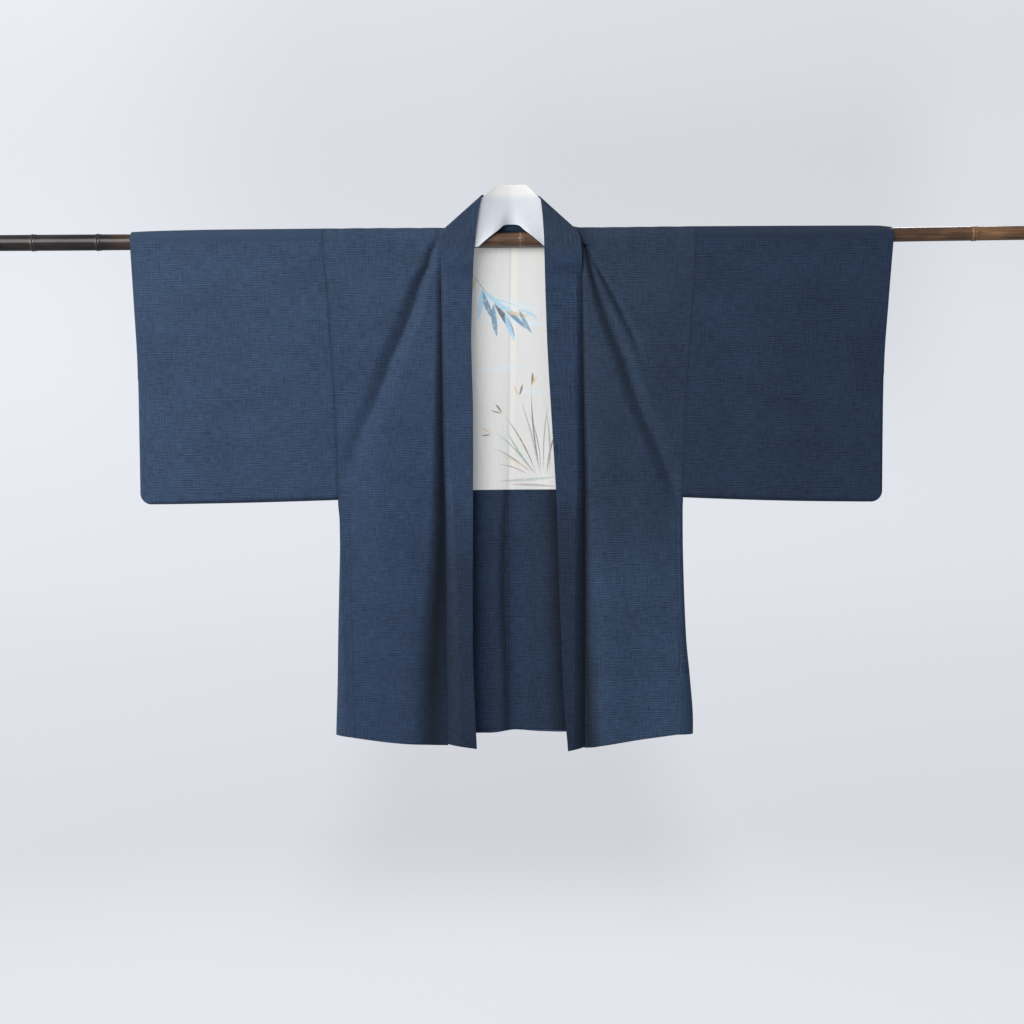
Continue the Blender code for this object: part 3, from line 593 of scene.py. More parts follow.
def sleeve_shade(side):
    """The seam between body and sleeve is darker, and fades out at SEAM_REACH beside it."""
    def shade(points):
        seam = read(BODY, np.minimum(points[:, 2], 0.0), "front", side)
        near = np.clip(1.0 - np.abs(np.abs(points[:, 0]) - seam) / SEAM_REACH, 0.0, 1.0)
        return 1.0 - SEAM_SHADE * np.where(points[:, 2] > SLEEVE_BOTTOM, near, 0.0)

    return shade


def front_shade(side):
    """For the body and the collar strip of one side."""
    def shade(points):
        lost = fold_depth(FRONT_SHADES[side], np.abs(points[:, 0]), points[:, 2])
        lost = np.where(points[:, 1] < 0.0, np.clip(lost, -1.0, MOST_SHADE), 0.0)
        return (1.0 - lost) * sleeve_shade(side)(points)

    return shade


def facing_shade(points):
    return 1.0 - fold_depth(BACK_SHADES, points[:, 0], points[:, 2])


# %% [markdown]
# A haori is stored folded flat, so a pressed crease runs along the shoulder line. On the rod the cloth
# doesn't bend round the top of the bamboo: it rises from both sides of it to the crease, like a low tent.

# %% Height of the shoulder crease above the rod's round, and the cloth over the rod
CREST = {
    LEFT: table(
        "x rise", (50, 0), (110, 8.3), (250, 8.7), (400, 8.4), (500, 8.2), (580, 7.2), (630, 6), (660, 4.5),
    ),
    RIGHT: table(
        "x rise", (50, 0), (100, 8.8), (106, 9.4), (113, 8.2), (120, 7.1), (150, 7), (300, 7.5), (450, 7.2),
        (600, 6.4), (630, 6.2), (645, 5), (658, 3),
    ),
}
# In radians: how blunt the crease is, and where the tent meets the cloth that lies on the rod
CREASE_ROUND = 0.07
TENT_BLEND = 0.12
# Where the crease doesn't rise, these keep the angle above 0
LEAST_RISE = 1e-7
LEAST_TOUCH = 1e-4


def over_rod(side, x, turn):
    """Depth and height of the cloth over the rod, at an angle from the top, forwards as positive."""
    top = DRAPE_RADIUS + curve(CREST[side]["x"], CREST[side]["rise"], x)
    touch = np.arccos(DRAPE_RADIUS / np.maximum(top, DRAPE_RADIUS + LEAST_RISE)) + LEAST_TOUCH
    share = np.sqrt(turn ** 2 + CREASE_ROUND ** 2 * (1 - np.abs(turn) / (math.pi / 2))) / touch
    tent_y = -turn / touch * DRAPE_RADIUS * np.sin(touch)
    tent_z = top - share * (top - DRAPE_RADIUS * np.cos(touch))
    round_y = -DRAPE_RADIUS * np.sin(turn)
    round_z = DRAPE_RADIUS * np.cos(turn)
    tented = ease((touch - np.abs(turn)) / TENT_BLEND)
    return mix(round_y, tent_y, tented), mix(round_z, np.maximum(tent_z, round_z), tented)


print("crease over the rod in mm:", [round(1000 * float(CREST[side]["rise"].max()), 1) for side in CREST])


# %% [markdown]
# ## Making cloth
# Every piece of cloth starts as a flat grid, as it does on the cutting table. A cloth simulation could drape
# it, but would not leave each fold in its own place. So a shape function bends the grid, and gives each
# point its place on the flat cloth, in metres. That flat place goes into the UV map, so the weave follows
# the cloth over every fold. A Solidify modifier gives the thickness and a Bevel modifier rounds the raw
# edge into a turned one.

# %% Helper: bend a flat grid into a piece of cloth
EDGE_ROUND = 0.3
EDGE_ANGLE = math.radians(55)


def new_cloth(name, shape, thickness, material, columns, rows, weld=0.0, shade=None):
    """A closed wall of cloth. shape(u, v) gives the points and their places on the flat cloth."""
    bm = bmesh.new()
    bmesh.ops.create_grid(bm, x_segments=columns, y_segments=rows, size=0.5)
    bm.verts.index_update()
    flat = np.array([vert.co[:2] for vert in bm.verts]) + 0.5
    points, cloth = shape(flat[:, 0], flat[:, 1])
    uv_map = bm.loops.layers.uv.new("cloth")
    light = bm.verts.layers.float.new("light")
    lit = shade(points) if shade else np.ones(len(points))
    for vert, point, share in zip(bm.verts, points, lit):
        vert.co = point
        vert[light] = share
    for face in bm.faces:
        for loop in face.loops:
            loop[uv_map].uv = cloth[loop.vert.index]
    if weld:
        bmesh.ops.remove_doubles(bm, verts=bm.verts, dist=weld)
    bmesh.ops.recalc_face_normals(bm, faces=bm.faces)
    item = add_object(name, bm, material)
    wall = item.modifiers.new("thickness", "SOLIDIFY")
    wall.thickness = thickness
    wall.offset = 0.0
    edge = item.modifiers.new("turned_edge", "BEVEL")
    edge.width = thickness * EDGE_ROUND
    edge.segments = 2
    edge.limit_method = "ANGLE"
    edge.angle_limit = EDGE_ANGLE
    print(name, len(item.data.polygons), "cells")
    return item


# %% [markdown]
# ## The navy silk
# The outside is a navy silk pongee. Its threads are uneven, so thin light and dark streaks cross each other
# and the colour is faintly patchy. The streaks are long thin noise, one set along the cloth and one across
# it. Thicker threads make ribs, which a wave texture lays, and they come and go in patches. Threads and ribs
# raise the surface a little too.

# %% Helpers: ribs of thread, and a straight seam
# A wave texture has this many waves in tau units at a scale of 1
WAVES = 20
SEAM_END = 0.002


def ribs(paint, place, direction, period, stretch):
    """Ribs of thicker thread at a period, straight for a few centimetres and then out of step."""
    wave = paint.add("TexWave")
    wave.bands_direction = direction
    return paint.feed(wave, {"Vector": paint.stretched(place, stretch), "Scale": math.tau / (WAVES * period),
                             "Distortion": 3.6, "Detail": 2.0, "Detail Scale": 0.9}, "Fac")


def near_line(paint, place, start, end, width):
    """1 on a line between two places on the cloth, 0 at half the width beside it or past its ends."""
    across, along, _ = paint.axes(place)
    slope = (end[0] - start[0]) / (end[1] - start[1])
    line = paint.calc("MULTIPLY_ADD", along, slope, start[0] - slope * start[1])
    off = paint.calc("ABSOLUTE", paint.calc("SUBTRACT", across, line))
    past = paint.calc("ABSOLUTE", paint.calc("SUBTRACT", along, (start[1] + end[1]) / 2))
    half = abs(end[1] - start[1]) / 2
    return paint.calc("MULTIPLY", paint.spread(off, width * 0.25, width * 0.5, 1.0, 0.0),
                      paint.spread(past, half, half + SEAM_END, 1.0, 0.0))


# %% The navy silk
INDIGO_DARK = np.array([0.0096, 0.0186, 0.0380])
INDIGO_LIGHT = np.array([0.0440, 0.0794, 0.1530])
HEM_Z = -0.88
RIB_PERIOD = 0.0039
SEAM_WIDTH = 0.0022


def pongee(name, tone, heights, seams=()):
    """Uneven plain weave, with painted light and shade. tone makes its colour darker or lighter as painted
    light, heights gives (z, tone or tint) pairs of painted light and shade down the piece, and seams gives
    (start, end, share of light lost) of straight seams on the flat cloth."""
    silk = Paint(name)
    place = silk.place("UV")
    weft_patch = silk.spread(silk.noise(place, (26.0, 60.0, 1.0), 2.0), 0.40, 0.60, 0.15, 1.0)
    warp_patch = silk.spread(silk.noise(place, (50.0, 22.0, 1.0), 2.0), 0.48, 0.66, 0.0, 0.8)
    # Threads, how strongly they show, and the patches they show in
    weave = 0.5
    for threads, amount, patch in (
        (silk.noise(place, (60.0, 420.0, 1.0)), 0.95, None),
        (silk.noise(place, (420.0, 45.0, 1.0)), 0.80, None),
        (silk.noise(place, (9.0, 14.0, 1.0), 4.0), 0.40, None),
        (ribs(silk, place, "Y", RIB_PERIOD, (0.22, 1.0, 1.0)), 0.55, weft_patch),
        (ribs(silk, place, "X", RIB_PERIOD * 1.05, (1.0, 0.22, 1.0)), 0.45, warp_patch),
    ):
        part = silk.calc("MULTIPLY", silk.calc("SUBTRACT", threads, 0.5), amount)
        if patch is not None:
            part = silk.calc("MULTIPLY", part, patch)
        weave = silk.calc("ADD", part, weave)
    # tone is painted light: it makes the whole piece darker or lighter
    dyed_with_painted_tone = silk.ramp(weave, [(0.0, tone * INDIGO_DARK), (1.0, tone * INDIGO_LIGHT)])
    # Painted light and shade down the piece, set by height
    down = silk.spread(silk.axes(silk.place("Object"))[2], 0.0, HEM_Z)
    painted_light_down = silk.ramp(down, [(z / HEM_Z, np.broadcast_to(tint, 3)) for z, tint in heights], "EASE")
    light = silk.light()
    for start, end, lost in seams:
        seam = near_line(silk, place, start, end, SEAM_WIDTH)
        light = silk.calc("MULTIPLY", light, silk.spread(seam, 0.0, 1.0, 1.0, 1.0 - lost))
    dye_and_painted_light = silk.calc("MULTIPLY", dyed_with_painted_tone, painted_light_down, kind="VectorMath")
    return silk.finish({"Base Color": silk.scaled(dye_and_painted_light, light), "Normal": silk.raised(weave, 0.6, 0.0005),
                        "Roughness": 0.82, "Specular IOR Level": 0.2, "Sheen Weight": 0.10,
                        "Sheen Roughness": 0.5})


# %% Painted light and shade on each piece: darker or lighter overall, and changing down its height
EVEN = [(0.0, 1.0), (HEM_Z, 1.0)]
CENTRE_SEAM = ((0.0, -0.02), (0.0, HEM_Z), 0.45)
# Painted light and shade on the fronts: the left lighter at the top and darker towards the hem, the right
# darker overall and lighter low down
body_navy_painted_light = {
    LEFT: pongee("body_pongee_painted_light_left", 1.0,
                 [(0.0, (1.10, 1.03, 0.96)), (-0.40, 0.98), (-0.62, 0.92), (HEM_Z, 0.92)],
                 [CENTRE_SEAM, ((0.2835, 0.48), (0.2750, 0.882), 0.28)]),
    RIGHT: pongee("body_pongee_painted_light_right", 0.82,
                  [(0.0, (1.03, 0.99, 0.89)), (-0.40, (0.98, 0.96, 0.90)),
                   (-0.62, (1.38, 1.35, 1.26)), (HEM_Z, (1.48, 1.45, 1.36))],
                  [CENTRE_SEAM, ((0.2780, 0.48), (0.2850, 0.882), 0.28)]),
}
# Painted shade on the right sleeve: it is darker overall than the left
sleeve_navy_painted_light = {
    LEFT: pongee("sleeve_pongee_left", 1.0, [(0.0, (1.03, 1.02, 0.97)), (-0.44, (1.02, 1.01, 0.98))]),
    RIGHT: pongee("sleeve_pongee_painted_shade_right", 0.68, EVEN),
}
# Painted shade on the collar strips: darker towards the hem, and the right darker overall
collar_navy_painted_light = {
    LEFT: pongee("collar_pongee_painted_shade_left", 0.92,
                 [(0.0, (1.02, 0.95, 0.87)), (-0.035, (1.08, 1.07, 1.04)),
                  (-0.42, 1.02), (-0.60, 0.60), (HEM_Z, 0.57)]),
    RIGHT: pongee("collar_pongee_painted_shade_right", 0.83,
                  [(0.0, (1.05, 0.97, 0.83)), (-0.035, (0.97, 1.0, 1.0)),
                   (-0.40, 0.94), (-0.56, 0.60), (HEM_Z, 0.60)]),
}
# Painted shade inside: the facing is darker overall than the outside
facing_navy_painted_shade = pongee("facing_pongee_painted_shade", 0.72, EVEN, [((-0.0095, -0.433), (-0.0105, -0.85), 0.35)])
print(len([*body_navy_painted_light, *sleeve_navy_painted_light, *collar_navy_painted_light, facing_navy_painted_shade]), "navy silks")

# %% [markdown]
# ## The body
# Each panel runs from the front hem over the shoulder to the back hem in one length, as it is cut. Front and
# back could be two pieces joined at the top, but then a seam would show where the real one has none. Its
# rows are runs along the cloth, measured from the shoulder crease: above 0 in front, below 0 behind. At the
# neck the cloth stands up into the collar instead of going over the rod.

# %% The rows of a body panel
BACK_LAP = 0.0002
# Near the shoulder the front reaches a little way behind the collar strip
FRONT_LAP = 0.009
FRONT_LAP_START = -0.056
FRONT_LAP_REACH = 0.030
# Run along the cloth at the sleeve seam, and the neckline's x and run at the other end of the row
SHOULDER = np.array([
    (29, 90, 35.5), (22, 64, 33.5), (17.2, 54, 29), (12.4, 45.5, 23.8), (7.6, 39.5, 19), (2.8, 34.5, 14.2),
    (-2, 30, 9.8), (-6.8, 25, 6.2), (-11.6, 13, 2), (-16.4, 0, 0), (-21.2, 0, -7), (-26.2, 0, -12),
    (-31.2, 0, -17),
]) / 1000


def body_lines(side):
    """Rows of the panel: the run along the side edge, the side edge, the inner edge and its run."""
    inner = hem_drop(HEIGHTS, SEAM_HEM[side])
    lap = FRONT_LAP * ease((inner - FRONT_LAP_START) / FRONT_LAP_REACH)
    seam = read(BODY, inner, "seam", side) + SEAM_GAP / 2 - lap
    front_edge = BODY["front_" + SIDE_NAMES[side]]
    front = np.stack([QUARTER_TURN - HEIGHTS, front_edge, seam, QUARTER_TURN - inner], axis=1)
    shoulder = np.insert(np.maximum(SHOULDER, (-1, -BACK_LAP, -1)), 1, front_edge[0], axis=1)
    back = np.stack([HEIGHTS - QUARTER_TURN, BODY["back_" + SIDE_NAMES[side]],
                     np.full(len(HEIGHTS), -BACK_LAP), hem_drop(HEIGHTS, BACK_HEM) - QUARTER_TURN], axis=1)
    return np.concatenate([front[::-1], shoulder, back])


print("rows of a panel:", len(body_lines(LEFT)))

# %% Helper: where the body cloth runs
NECK_RISE = 1.52
NECK_LEAN = 0.0112
NECK_LEAN_START = 0.008
NECK_LEAN_REACH = 0.014
NECK_UPRIGHT = 0.005
NECK_ROUND = 0.038


def body_points(side, x, run):
    """Middle of the body cloth at distance x from the middle plane and a run along the cloth."""
    front_z = np.minimum(QUARTER_TURN - run, 0.0)
    back_z = np.minimum(QUARTER_TURN + run, 0.0)
    front = np.stack([x, -front_depth(side, x, front_z), front_z], axis=1)
    back = np.stack([x, back_depth(side, x, back_z), back_z], axis=1)
    turn = np.clip(run / DRAPE_RADIUS, -math.pi / 2, math.pi / 2)
    over = np.stack([x, *over_rod(side, x, turn)], axis=1)
    height = (run + QUARTER_TURN) * NECK_RISE
    lean = NECK_LEAN * ease((height - NECK_LEAN_START) / NECK_LEAN_REACH)
    standing = np.stack([x, DRAPE_RADIUS - lean, height], axis=1)
    share = 1.0 - ease((x - NECK_UPRIGHT) / (NECK_ROUND - NECK_UPRIGHT))
    top = mix(over, standing, share[:, None])
    behind = np.where((run <= -QUARTER_TURN)[:, None], back, top)
    points = np.where((run >= QUARTER_TURN)[:, None], front, behind)
    points[:, 0] *= side
    return points


# %% Shape of a body panel
# Share of the rows in front of and behind the shoulder, and the run where it starts
FRONT_SHARE = 0.44
BACK_SHARE = 0.56
SHOULDER_RUN = 0.05
# The hem sags between the seams: from which run down, and how far
SAG_START = 0.60
SAG_REACH = 0.275
HEM_DROP = 0.0018
HEM_SAG = {LEFT: 0.0034, RIGHT: -0.0006}
BACK_SAG = {LEFT: 0.0045, RIGHT: 0.0025}
BACK_SAG_REACH = 0.045


def body_shape(side):
    lines = body_lines(side)

    def shape(u, v):
        side_run = np.interp(v, [0.0, FRONT_SHARE, BACK_SHARE, 1.0],
                             [lines[0, 0], SHOULDER_RUN, -SHOULDER_RUN, lines[-1, 0]])
        row = curve(lines[:, 0], lines[:, 1:], side_run)
        x = mix(row[:, 0] - SEAM_GAP / 2, row[:, 1], u)
        run = mix(side_run, row[:, 2], u)
        low = ease((np.abs(side_run) - SAG_START) / SAG_REACH)
        sag = np.where(run > 0, HEM_DROP + HEM_SAG[side] * np.sin(math.pi * u),
                       BACK_SAG[side] * ease(x / BACK_SAG_REACH))
        run = run + np.sign(run) * sag * low
        return body_points(side, x, run), np.stack([x, run], axis=1)

    return shape


# %% The two body panels
panels = {}
for side, side_name in SIDE_NAMES.items():
    panels[side] = new_cloth("body_silk_" + side_name, body_shape(side), BODY_CLOTH, body_navy_painted_light[side],
                             columns=95, rows=420, shade=front_shade(side))

# %% [markdown]
# ## The lining and the facing of the back
# Inside, the upper back is lined with white silk that carries a soft painted pattern, the haori's hidden
# luxury. Below the lining the navy cloth turns up inside as a deep facing. Both hang against the back and
# share its folds. An image could carry the pattern, but a few dozen brush strokes, each a small sum of
# nodes, stay sharp at any size and need no file.

# %% The white silk, before its pattern
def white_silk(name, colour, roughness):
    """Plain silk with faint upright threads. Returns its paint and its colour."""
    silk = Paint(name)
    warp = silk.noise(silk.place("UV"), (900.0, 30.0, 1.0))
    silk.finish({"Normal": silk.raised(warp, 0.3, 0.0002), "Roughness": roughness, "Specular IOR Level": 0.3})
    return silk, silk.ramp(warp, [(0.35, 0.93 * np.array(colour)), (0.65, colour)])


# %% A spray of bamboo leaves, a tuft of reeds and bands of mist
INK = (0.060, 0.085, 0.120)
SLATE = (0.130, 0.240, 0.330)
SKY = (0.330, 0.520, 0.640)
MIST = (0.520, 0.650, 0.710)
SAGE = (0.250, 0.320, 0.270)
BARK = (0.170, 0.110, 0.075)
OCHRE = (0.560, 0.430, 0.220)
# A stroke is a slim leaf: its start across and up, its length, the way it points in degrees, its half width,
# its bend in half widths, its colour and how strongly the brush was loaded. Sizes are in millimetres.
STROKES = [
    (-100, -85, 170, -12, 10, 0.4, MIST, 0.55), (-60, -140, 150, -4, 8, -0.5, MIST, 0.6),
    (-85, -225, 130, 6, 6.5, 0.6, MIST, 0.45), (0, -262, 90, -5, 5, -0.5, MIST, 0.4),
    (-80, -40, 120, -52, 1.1, 2, SLATE, 0.9), (-40, -98, 60, -18, 0.8, -1.5, SLATE, 0.9),
    (-52, -83, 62, -68, 5.2, 0.5, SLATE, 0.95), (-52, -83, 56, -98, 4.6, -0.4, SKY, 0.9),
    (-52, -83, 50, -38, 4.2, 0.5, SKY, 0.9), (-32, -108, 70, -58, 5.6, -0.5, INK, 0.9),
    (-32, -108, 60, -84, 5, 0.4, SLATE, 0.9), (-32, -108, 52, -30, 4.4, -0.4, SKY, 0.95),
    (-12, -121, 58, -72, 4.8, 0.5, SKY, 0.9), (-12, -121, 50, -42, 4.2, -0.5, SLATE, 0.95),
    (-12, -121, 44, -14, 3.6, 0.4, OCHRE, 0.8), (12, -118, 50, -62, 4, 0.5, SLATE, 0.8),
    (12, -118, 40, -28, 3.2, -0.4, SKY, 0.85), (-60, -60, 36, -110, 3.2, 0.4, OCHRE, 0.7),
    (46, -412, 150, 104, 1.6, 3, SAGE, 0.95), (42, -412, 128, 118, 1.5, 4, BARK, 0.9),
    (50, -414, 162, 96, 1.7, -3, BARK, 0.9), (38, -410, 110, 132, 1.4, 4, SAGE, 0.9),
    (54, -414, 140, 86, 1.6, -3, SAGE, 0.95), (34, -408, 90, 146, 1.3, 4, INK, 0.8),
    (48, -412, 120, 100, 1.2, 5, INK, 0.8), (44, -410, 98, 124, 2.2, -2, SAGE, 0.85),
    (58, -414, 104, 76, 1.8, -3, BARK, 0.85), (40, -408, 76, 152, 1.8, 2.5, OCHRE, 0.7),
    (62, -412, 118, 92, 2, 2, SAGE, 0.8), (30, -409, 62, 160, 1.2, 3, BARK, 0.85),
    (11, -270, 24, 74, 2.2, 0.4, BARK, 0.9), (11, -270, 22, 112, 2, -0.4, OCHRE, 0.9),
    (-18, -300, 22, 128, 2, 0.4, BARK, 0.9), (-18, -300, 22, 164, 1.8, -0.4, BARK, 0.8),
    (33, -253, 26, 86, 2.4, 0.4, BARK, 0.9), (33, -253, 22, 60, 2, -0.4, OCHRE, 0.9),
    (-36, -336, 24, 150, 2, 0.4, OCHRE, 0.85), (-36, -336, 22, 186, 1.8, -0.4, BARK, 0.85),
    (-30, -418, 110, 4, 3.2, 0.5, SAGE, 0.5), (-10, -424, 90, -3, 2.6, -0.5, BARK, 0.45),
]
BRUSH_EDGE = 0.9


def brushed(silk, colour, place):
    """Lays every stroke on a colour. A dry brush lets a little of the silk through."""
    dry = silk.spread(silk.noise(place, (160.0, 160.0, 1.0)), 0.30, 0.50, 0.55, 1.0)
    for x, z, length, turn, width, bend, ink, load in STROKES:
        local = silk.add("Mapping")
        local.vector_type = "TEXTURE"
        local = silk.feed(local, {"Vector": place, "Location": (x / 1000, z / 1000, 0.0),
                                  "Rotation": (0.0, 0.0, math.radians(turn)),
                                  "Scale": (length / 1000, width / 1000, 1.0)})
        along, off, _ = silk.axes(local)
        # The leaf's half width is 0 at both ends and 1 in the middle
        rest = silk.calc("SUBTRACT", 4.0, silk.calc("MULTIPLY", along, 4.0))
        taper = silk.calc("MULTIPLY", along, rest)
        bent = silk.calc("MULTIPLY_ADD", taper, bend, off)
        inside = silk.calc("SUBTRACT", taper, silk.calc("ABSOLUTE", bent))
        edge = BRUSH_EDGE if ink == MIST else BRUSH_EDGE / width
        laid = silk.spread(inside, 0.0, edge, 0.0, load)
        colour = silk.lay(colour, ink, silk.calc("MULTIPLY", laid, dry))
    return colour


print(len(STROKES), "strokes of the brush")


# %% The painted lining, and the lining of the collar
# The lining glows a little by its own colour: painted light that keeps its shaded parts bright
LINING_PAINTED_GLOW = 0.31
silk, colour = white_silk("painted_lining", (0.600, 0.593, 0.571), 0.5)
place = silk.place("UV")
# A centre-back pleat is painted, not modelled: a painted highlight along it and a painted shadow at its left
# edge
pleat_highlight = near_line(silk, place, (0.0052, -0.010), (-0.0044, -0.433), 0.0145)
pleat_shade = near_line(silk, place, (-0.0022, -0.010), (-0.0102, -0.433), 0.0060)
colour = silk.lay(colour, (0.635, 0.617, 0.567), pleat_highlight)
colour = silk.lay(colour, (0.535, 0.530, 0.512), pleat_shade)
colour = brushed(silk, colour, place)
# Its emission is painted light, a glow that lifts the shaded parts
lining_silk = silk.finish({"Base Color": colour, "Emission Color": colour, "Emission Strength": LINING_PAINTED_GLOW})

# The collar's lining is a warmer cream along its upper edge
silk, colour = white_silk("collar_lining_silk", (0.655, 0.675, 0.700), 0.9)
cream_upper_band = silk.spread(silk.axes(silk.place("Object"))[2], 0.0670, 0.0785)
collar_silk = silk.finish({"Base Color": silk.lay(colour, (0.770, 0.755, 0.715), cream_upper_band)})
print("white silks:", lining_silk.name, "and", collar_silk.name)

# %% Hang them inside the back
INWARDS = BODY_CLOTH / 2 + LAYER_GAP + LINING_CLOTH / 2
SIDE_PLAY = 0.995
FACING_RISE = 0.002


def back_layer(top, bottom, top_gap=0.0, bottom_gap=0.0):
    """Shape function of a layer on the inside of the back, between two heights."""
    def shape(u, v):
        z = mix(top, bottom, v)
        left, right = [read(BODY, z, "back", side) - SEAM_GAP / 2 for side in (LEFT, RIGHT)]
        across = 2 * u - 1
        x = np.where(across < 0, -across * left, across * right)
        hang = mix(hem_drop(z, BACK_HEM), z, np.abs(across))
        depth = np.where(across < 0, back_depth(LEFT, x, hang), back_depth(RIGHT, x, hang))
        drop = hang - top_gap * (v == 0.0) + bottom_gap * (v == 1.0)
        signed = np.sign(across) * x * SIDE_PLAY
        return np.stack([signed, depth - INWARDS, drop], axis=1), np.stack([signed, z], axis=1)

    return shape


back_lining = new_cloth("back_lining_silk", back_layer(LINING_TOP, LINING_HEM), LINING_CLOTH, lining_silk,
                        columns=150, rows=150)
back_facing = new_cloth("back_facing_silk", back_layer(LINING_HEM, SIDE_HEM, SEAM_GAP, FACING_RISE),
                        LINING_CLOTH, facing_navy_painted_shade, columns=150, rows=130, shade=facing_shade)

# %% [markdown]
# ## The collar
# The collar is one strip twice as wide as it shows, folded along its free edge. It runs up each front, and
# at the shoulders it turns over and stands around the neck. A strip that follows a single curve can't turn
# over like that, so it is lofted: rows are given where it changes direction, each from the seam edge to the
# free edge, leaning back on the way, and the cloth runs smoothly through them.

# %% Rows around the neck
# x, y and z at the seam edge, then at the free edge, in millimetres
COLLAR_TURN = {
    LEFT: [
        (121.2, -16.2, -46, 65.2, -20, -36), (121, -20, -26, 62, -20, 4), (121, -20, -5, 56.5, -20, 45),
        (121, -20, 7.5, 50.8, -20, 70.5), (121.6, -19.3, 9.7, 49.4, -19.3, 73.9),
        (122.2, -18, 11.2, 48.6, -18, 75.4), (121.6, -16.7, 9.7, 48.4, -16.7, 74.4),
    ],
    RIGHT: [
        (121.2, -16.2, -46, 56.8, -20, -36), (121.3, -20, -28, 56, -20, 3),
        (120.4, -20, -12, 53.5, -20, 43), (117.6, -20, 2, 50.2, -20, 67.7),
        (113.6, -19.3, 11, 49.2, -19.3, 70.4), (113, -18, 12.8, 48.4, -18, 71.8),
        (112.6, -16.7, 11.4, 48.2, -16.7, 70.9),
    ],
}
NECK_START = {LEFT: (119, -16, 7, 46.2, -16, 74.2), RIGHT: (110.5, -16, 3, 46, -16, 73)}
COLLAR_NECK = [
    (95, -16, -5, 41, -14.2, 78), (75, -16, -12, 35, -12.6, 83.8), (60, -16, -14, 29, -11, 88.8),
    (47, -16, -4.8, 24, -9.7, 91.8), (35, -15.2, 5.2, 17, -8.4, 92.2), (24, -11.2, 14.8, 11.5, -7.5, 92.3),
    (13, -5.8, 25.2, 6, -6.9, 92.3), (6, -2.6, 27, 3, -6.6, 92.3), (0, -1.6, 27.2, 0, -6.5, 92.3),
]
LEAN = 4.0
COLLAR_COLUMNS = 44
STRIP_ROWS = 72
STRIP_SHARES = np.linspace(0.0, 1.0, COLLAR_COLUMNS + 1)
print("rows around the neck:", 2 * (len(COLLAR_TURN[LEFT]) + len(COLLAR_NECK) + 1))


# %% Helpers: lines of points across the collar, and cloth through them
def turn_lines(side, rows):
    """Points of the rows around the neck, each from the seam edge to the free edge."""
    rows = np.array(rows)[:, :, None] / 1000
    share = STRIP_SHARES[None, :]
    x = side * mix(rows[:, 0], rows[:, 3], share)
    lean = 1.0 - (1.0 - share) ** LEAN
    return np.stack([x, mix(rows[:, 1], rows[:, 4], lean), mix(rows[:, 2], rows[:, 5], share)], axis=2)


def strip_lines(side):
    """Points of the front strip's rows, from the hem up to the shoulder, seam edge first."""
    heights = HEIGHTS[:1:-1]
    z = curve(range(len(heights)), heights, np.linspace(0, len(heights) - 1, STRIP_ROWS + 1))
    seam_z = hem_drop(z, SEAM_HEM[side])[:, None]
    edge_z = hem_drop(z, TIP_HEM[side])[:, None]
    seam_x = read(BODY, seam_z, "seam", side) - SEAM_GAP / 2
    edge_x = read(BODY, z, "edge", side)[:, None]
    full = front_depth(side, seam_x + SEAM_GAP, seam_z) + groove(side, seam_z, HAIR)
    x = mix(seam_x, edge_x, STRIP_SHARES)
    depth = full - groove(side, np.broadcast_to(seam_z, x.shape), x - seam_x - HAIR)
    return np.stack([side * x, -depth, mix(seam_z, edge_z, STRIP_SHARES)], axis=2)


def loft(lines, least_step):
    """Shape function of cloth through lines of points: u runs along a line, v from line to line. Lines that
    lie closer together than least_step share out the grid's rows as if they were that far apart."""
    middle = lines.shape[1] // 2
    steps = np.linalg.norm(np.diff(lines, axis=0), axis=2)[:, (0, middle, -1)].max(axis=1)
    at = np.concatenate([[0.0], np.cumsum(np.maximum(steps, least_step))])
    real = np.concatenate([[0.0], np.cumsum(steps)])
    width = np.linalg.norm(lines[0, 0] - lines[0, -1])

    def shape(u, v):
        rows = curve(at, lines, v * at[-1])
        column = u * (lines.shape[1] - 1)
        low = np.clip(column.astype(int), 0, lines.shape[1] - 2)
        pick = np.arange(len(u))
        points = mix(rows[pick, low], rows[pick, low + 1], (column - low)[:, None])
        return points, np.stack([u * width, np.interp(v * at[-1], at, real)], axis=1)

    return shape


# %% The two halves of the collar, joined by a seam at the centre back
# The outer cloth ends just short of the edges of its white lining, which shows along them
TUCK_X = 0.0008
TUCK_Z = 0.0010
# The tuck is near the free edge only, and at the lining's other edge nearer still
TUCK_POWER = 4
SEAM_TUCK_POWER = 6
TUCKED = STRIP_SHARES ** TUCK_POWER
collars = {}
for side, side_name in SIDE_NAMES.items():
    around = COLLAR_TURN[side] + [NECK_START[side]] + COLLAR_NECK
    lines = np.concatenate([strip_lines(side), turn_lines(side, around)])
    lines[-len(COLLAR_NECK):, :, 2] -= TUCK_Z * TUCKED
    lines[-len(COLLAR_NECK):, :, 0] -= side * TUCK_X * TUCKED
    lines[-1, :, 0] = side * SEAM_GAP / 2
    collars[side] = new_cloth("collar_silk_" + side_name, loft(lines, least_step=0.003),
                              COLLAR_CLOTH, collar_navy_painted_light[side], columns=COLLAR_COLUMNS, rows=330,
                              shade=front_shade(side))

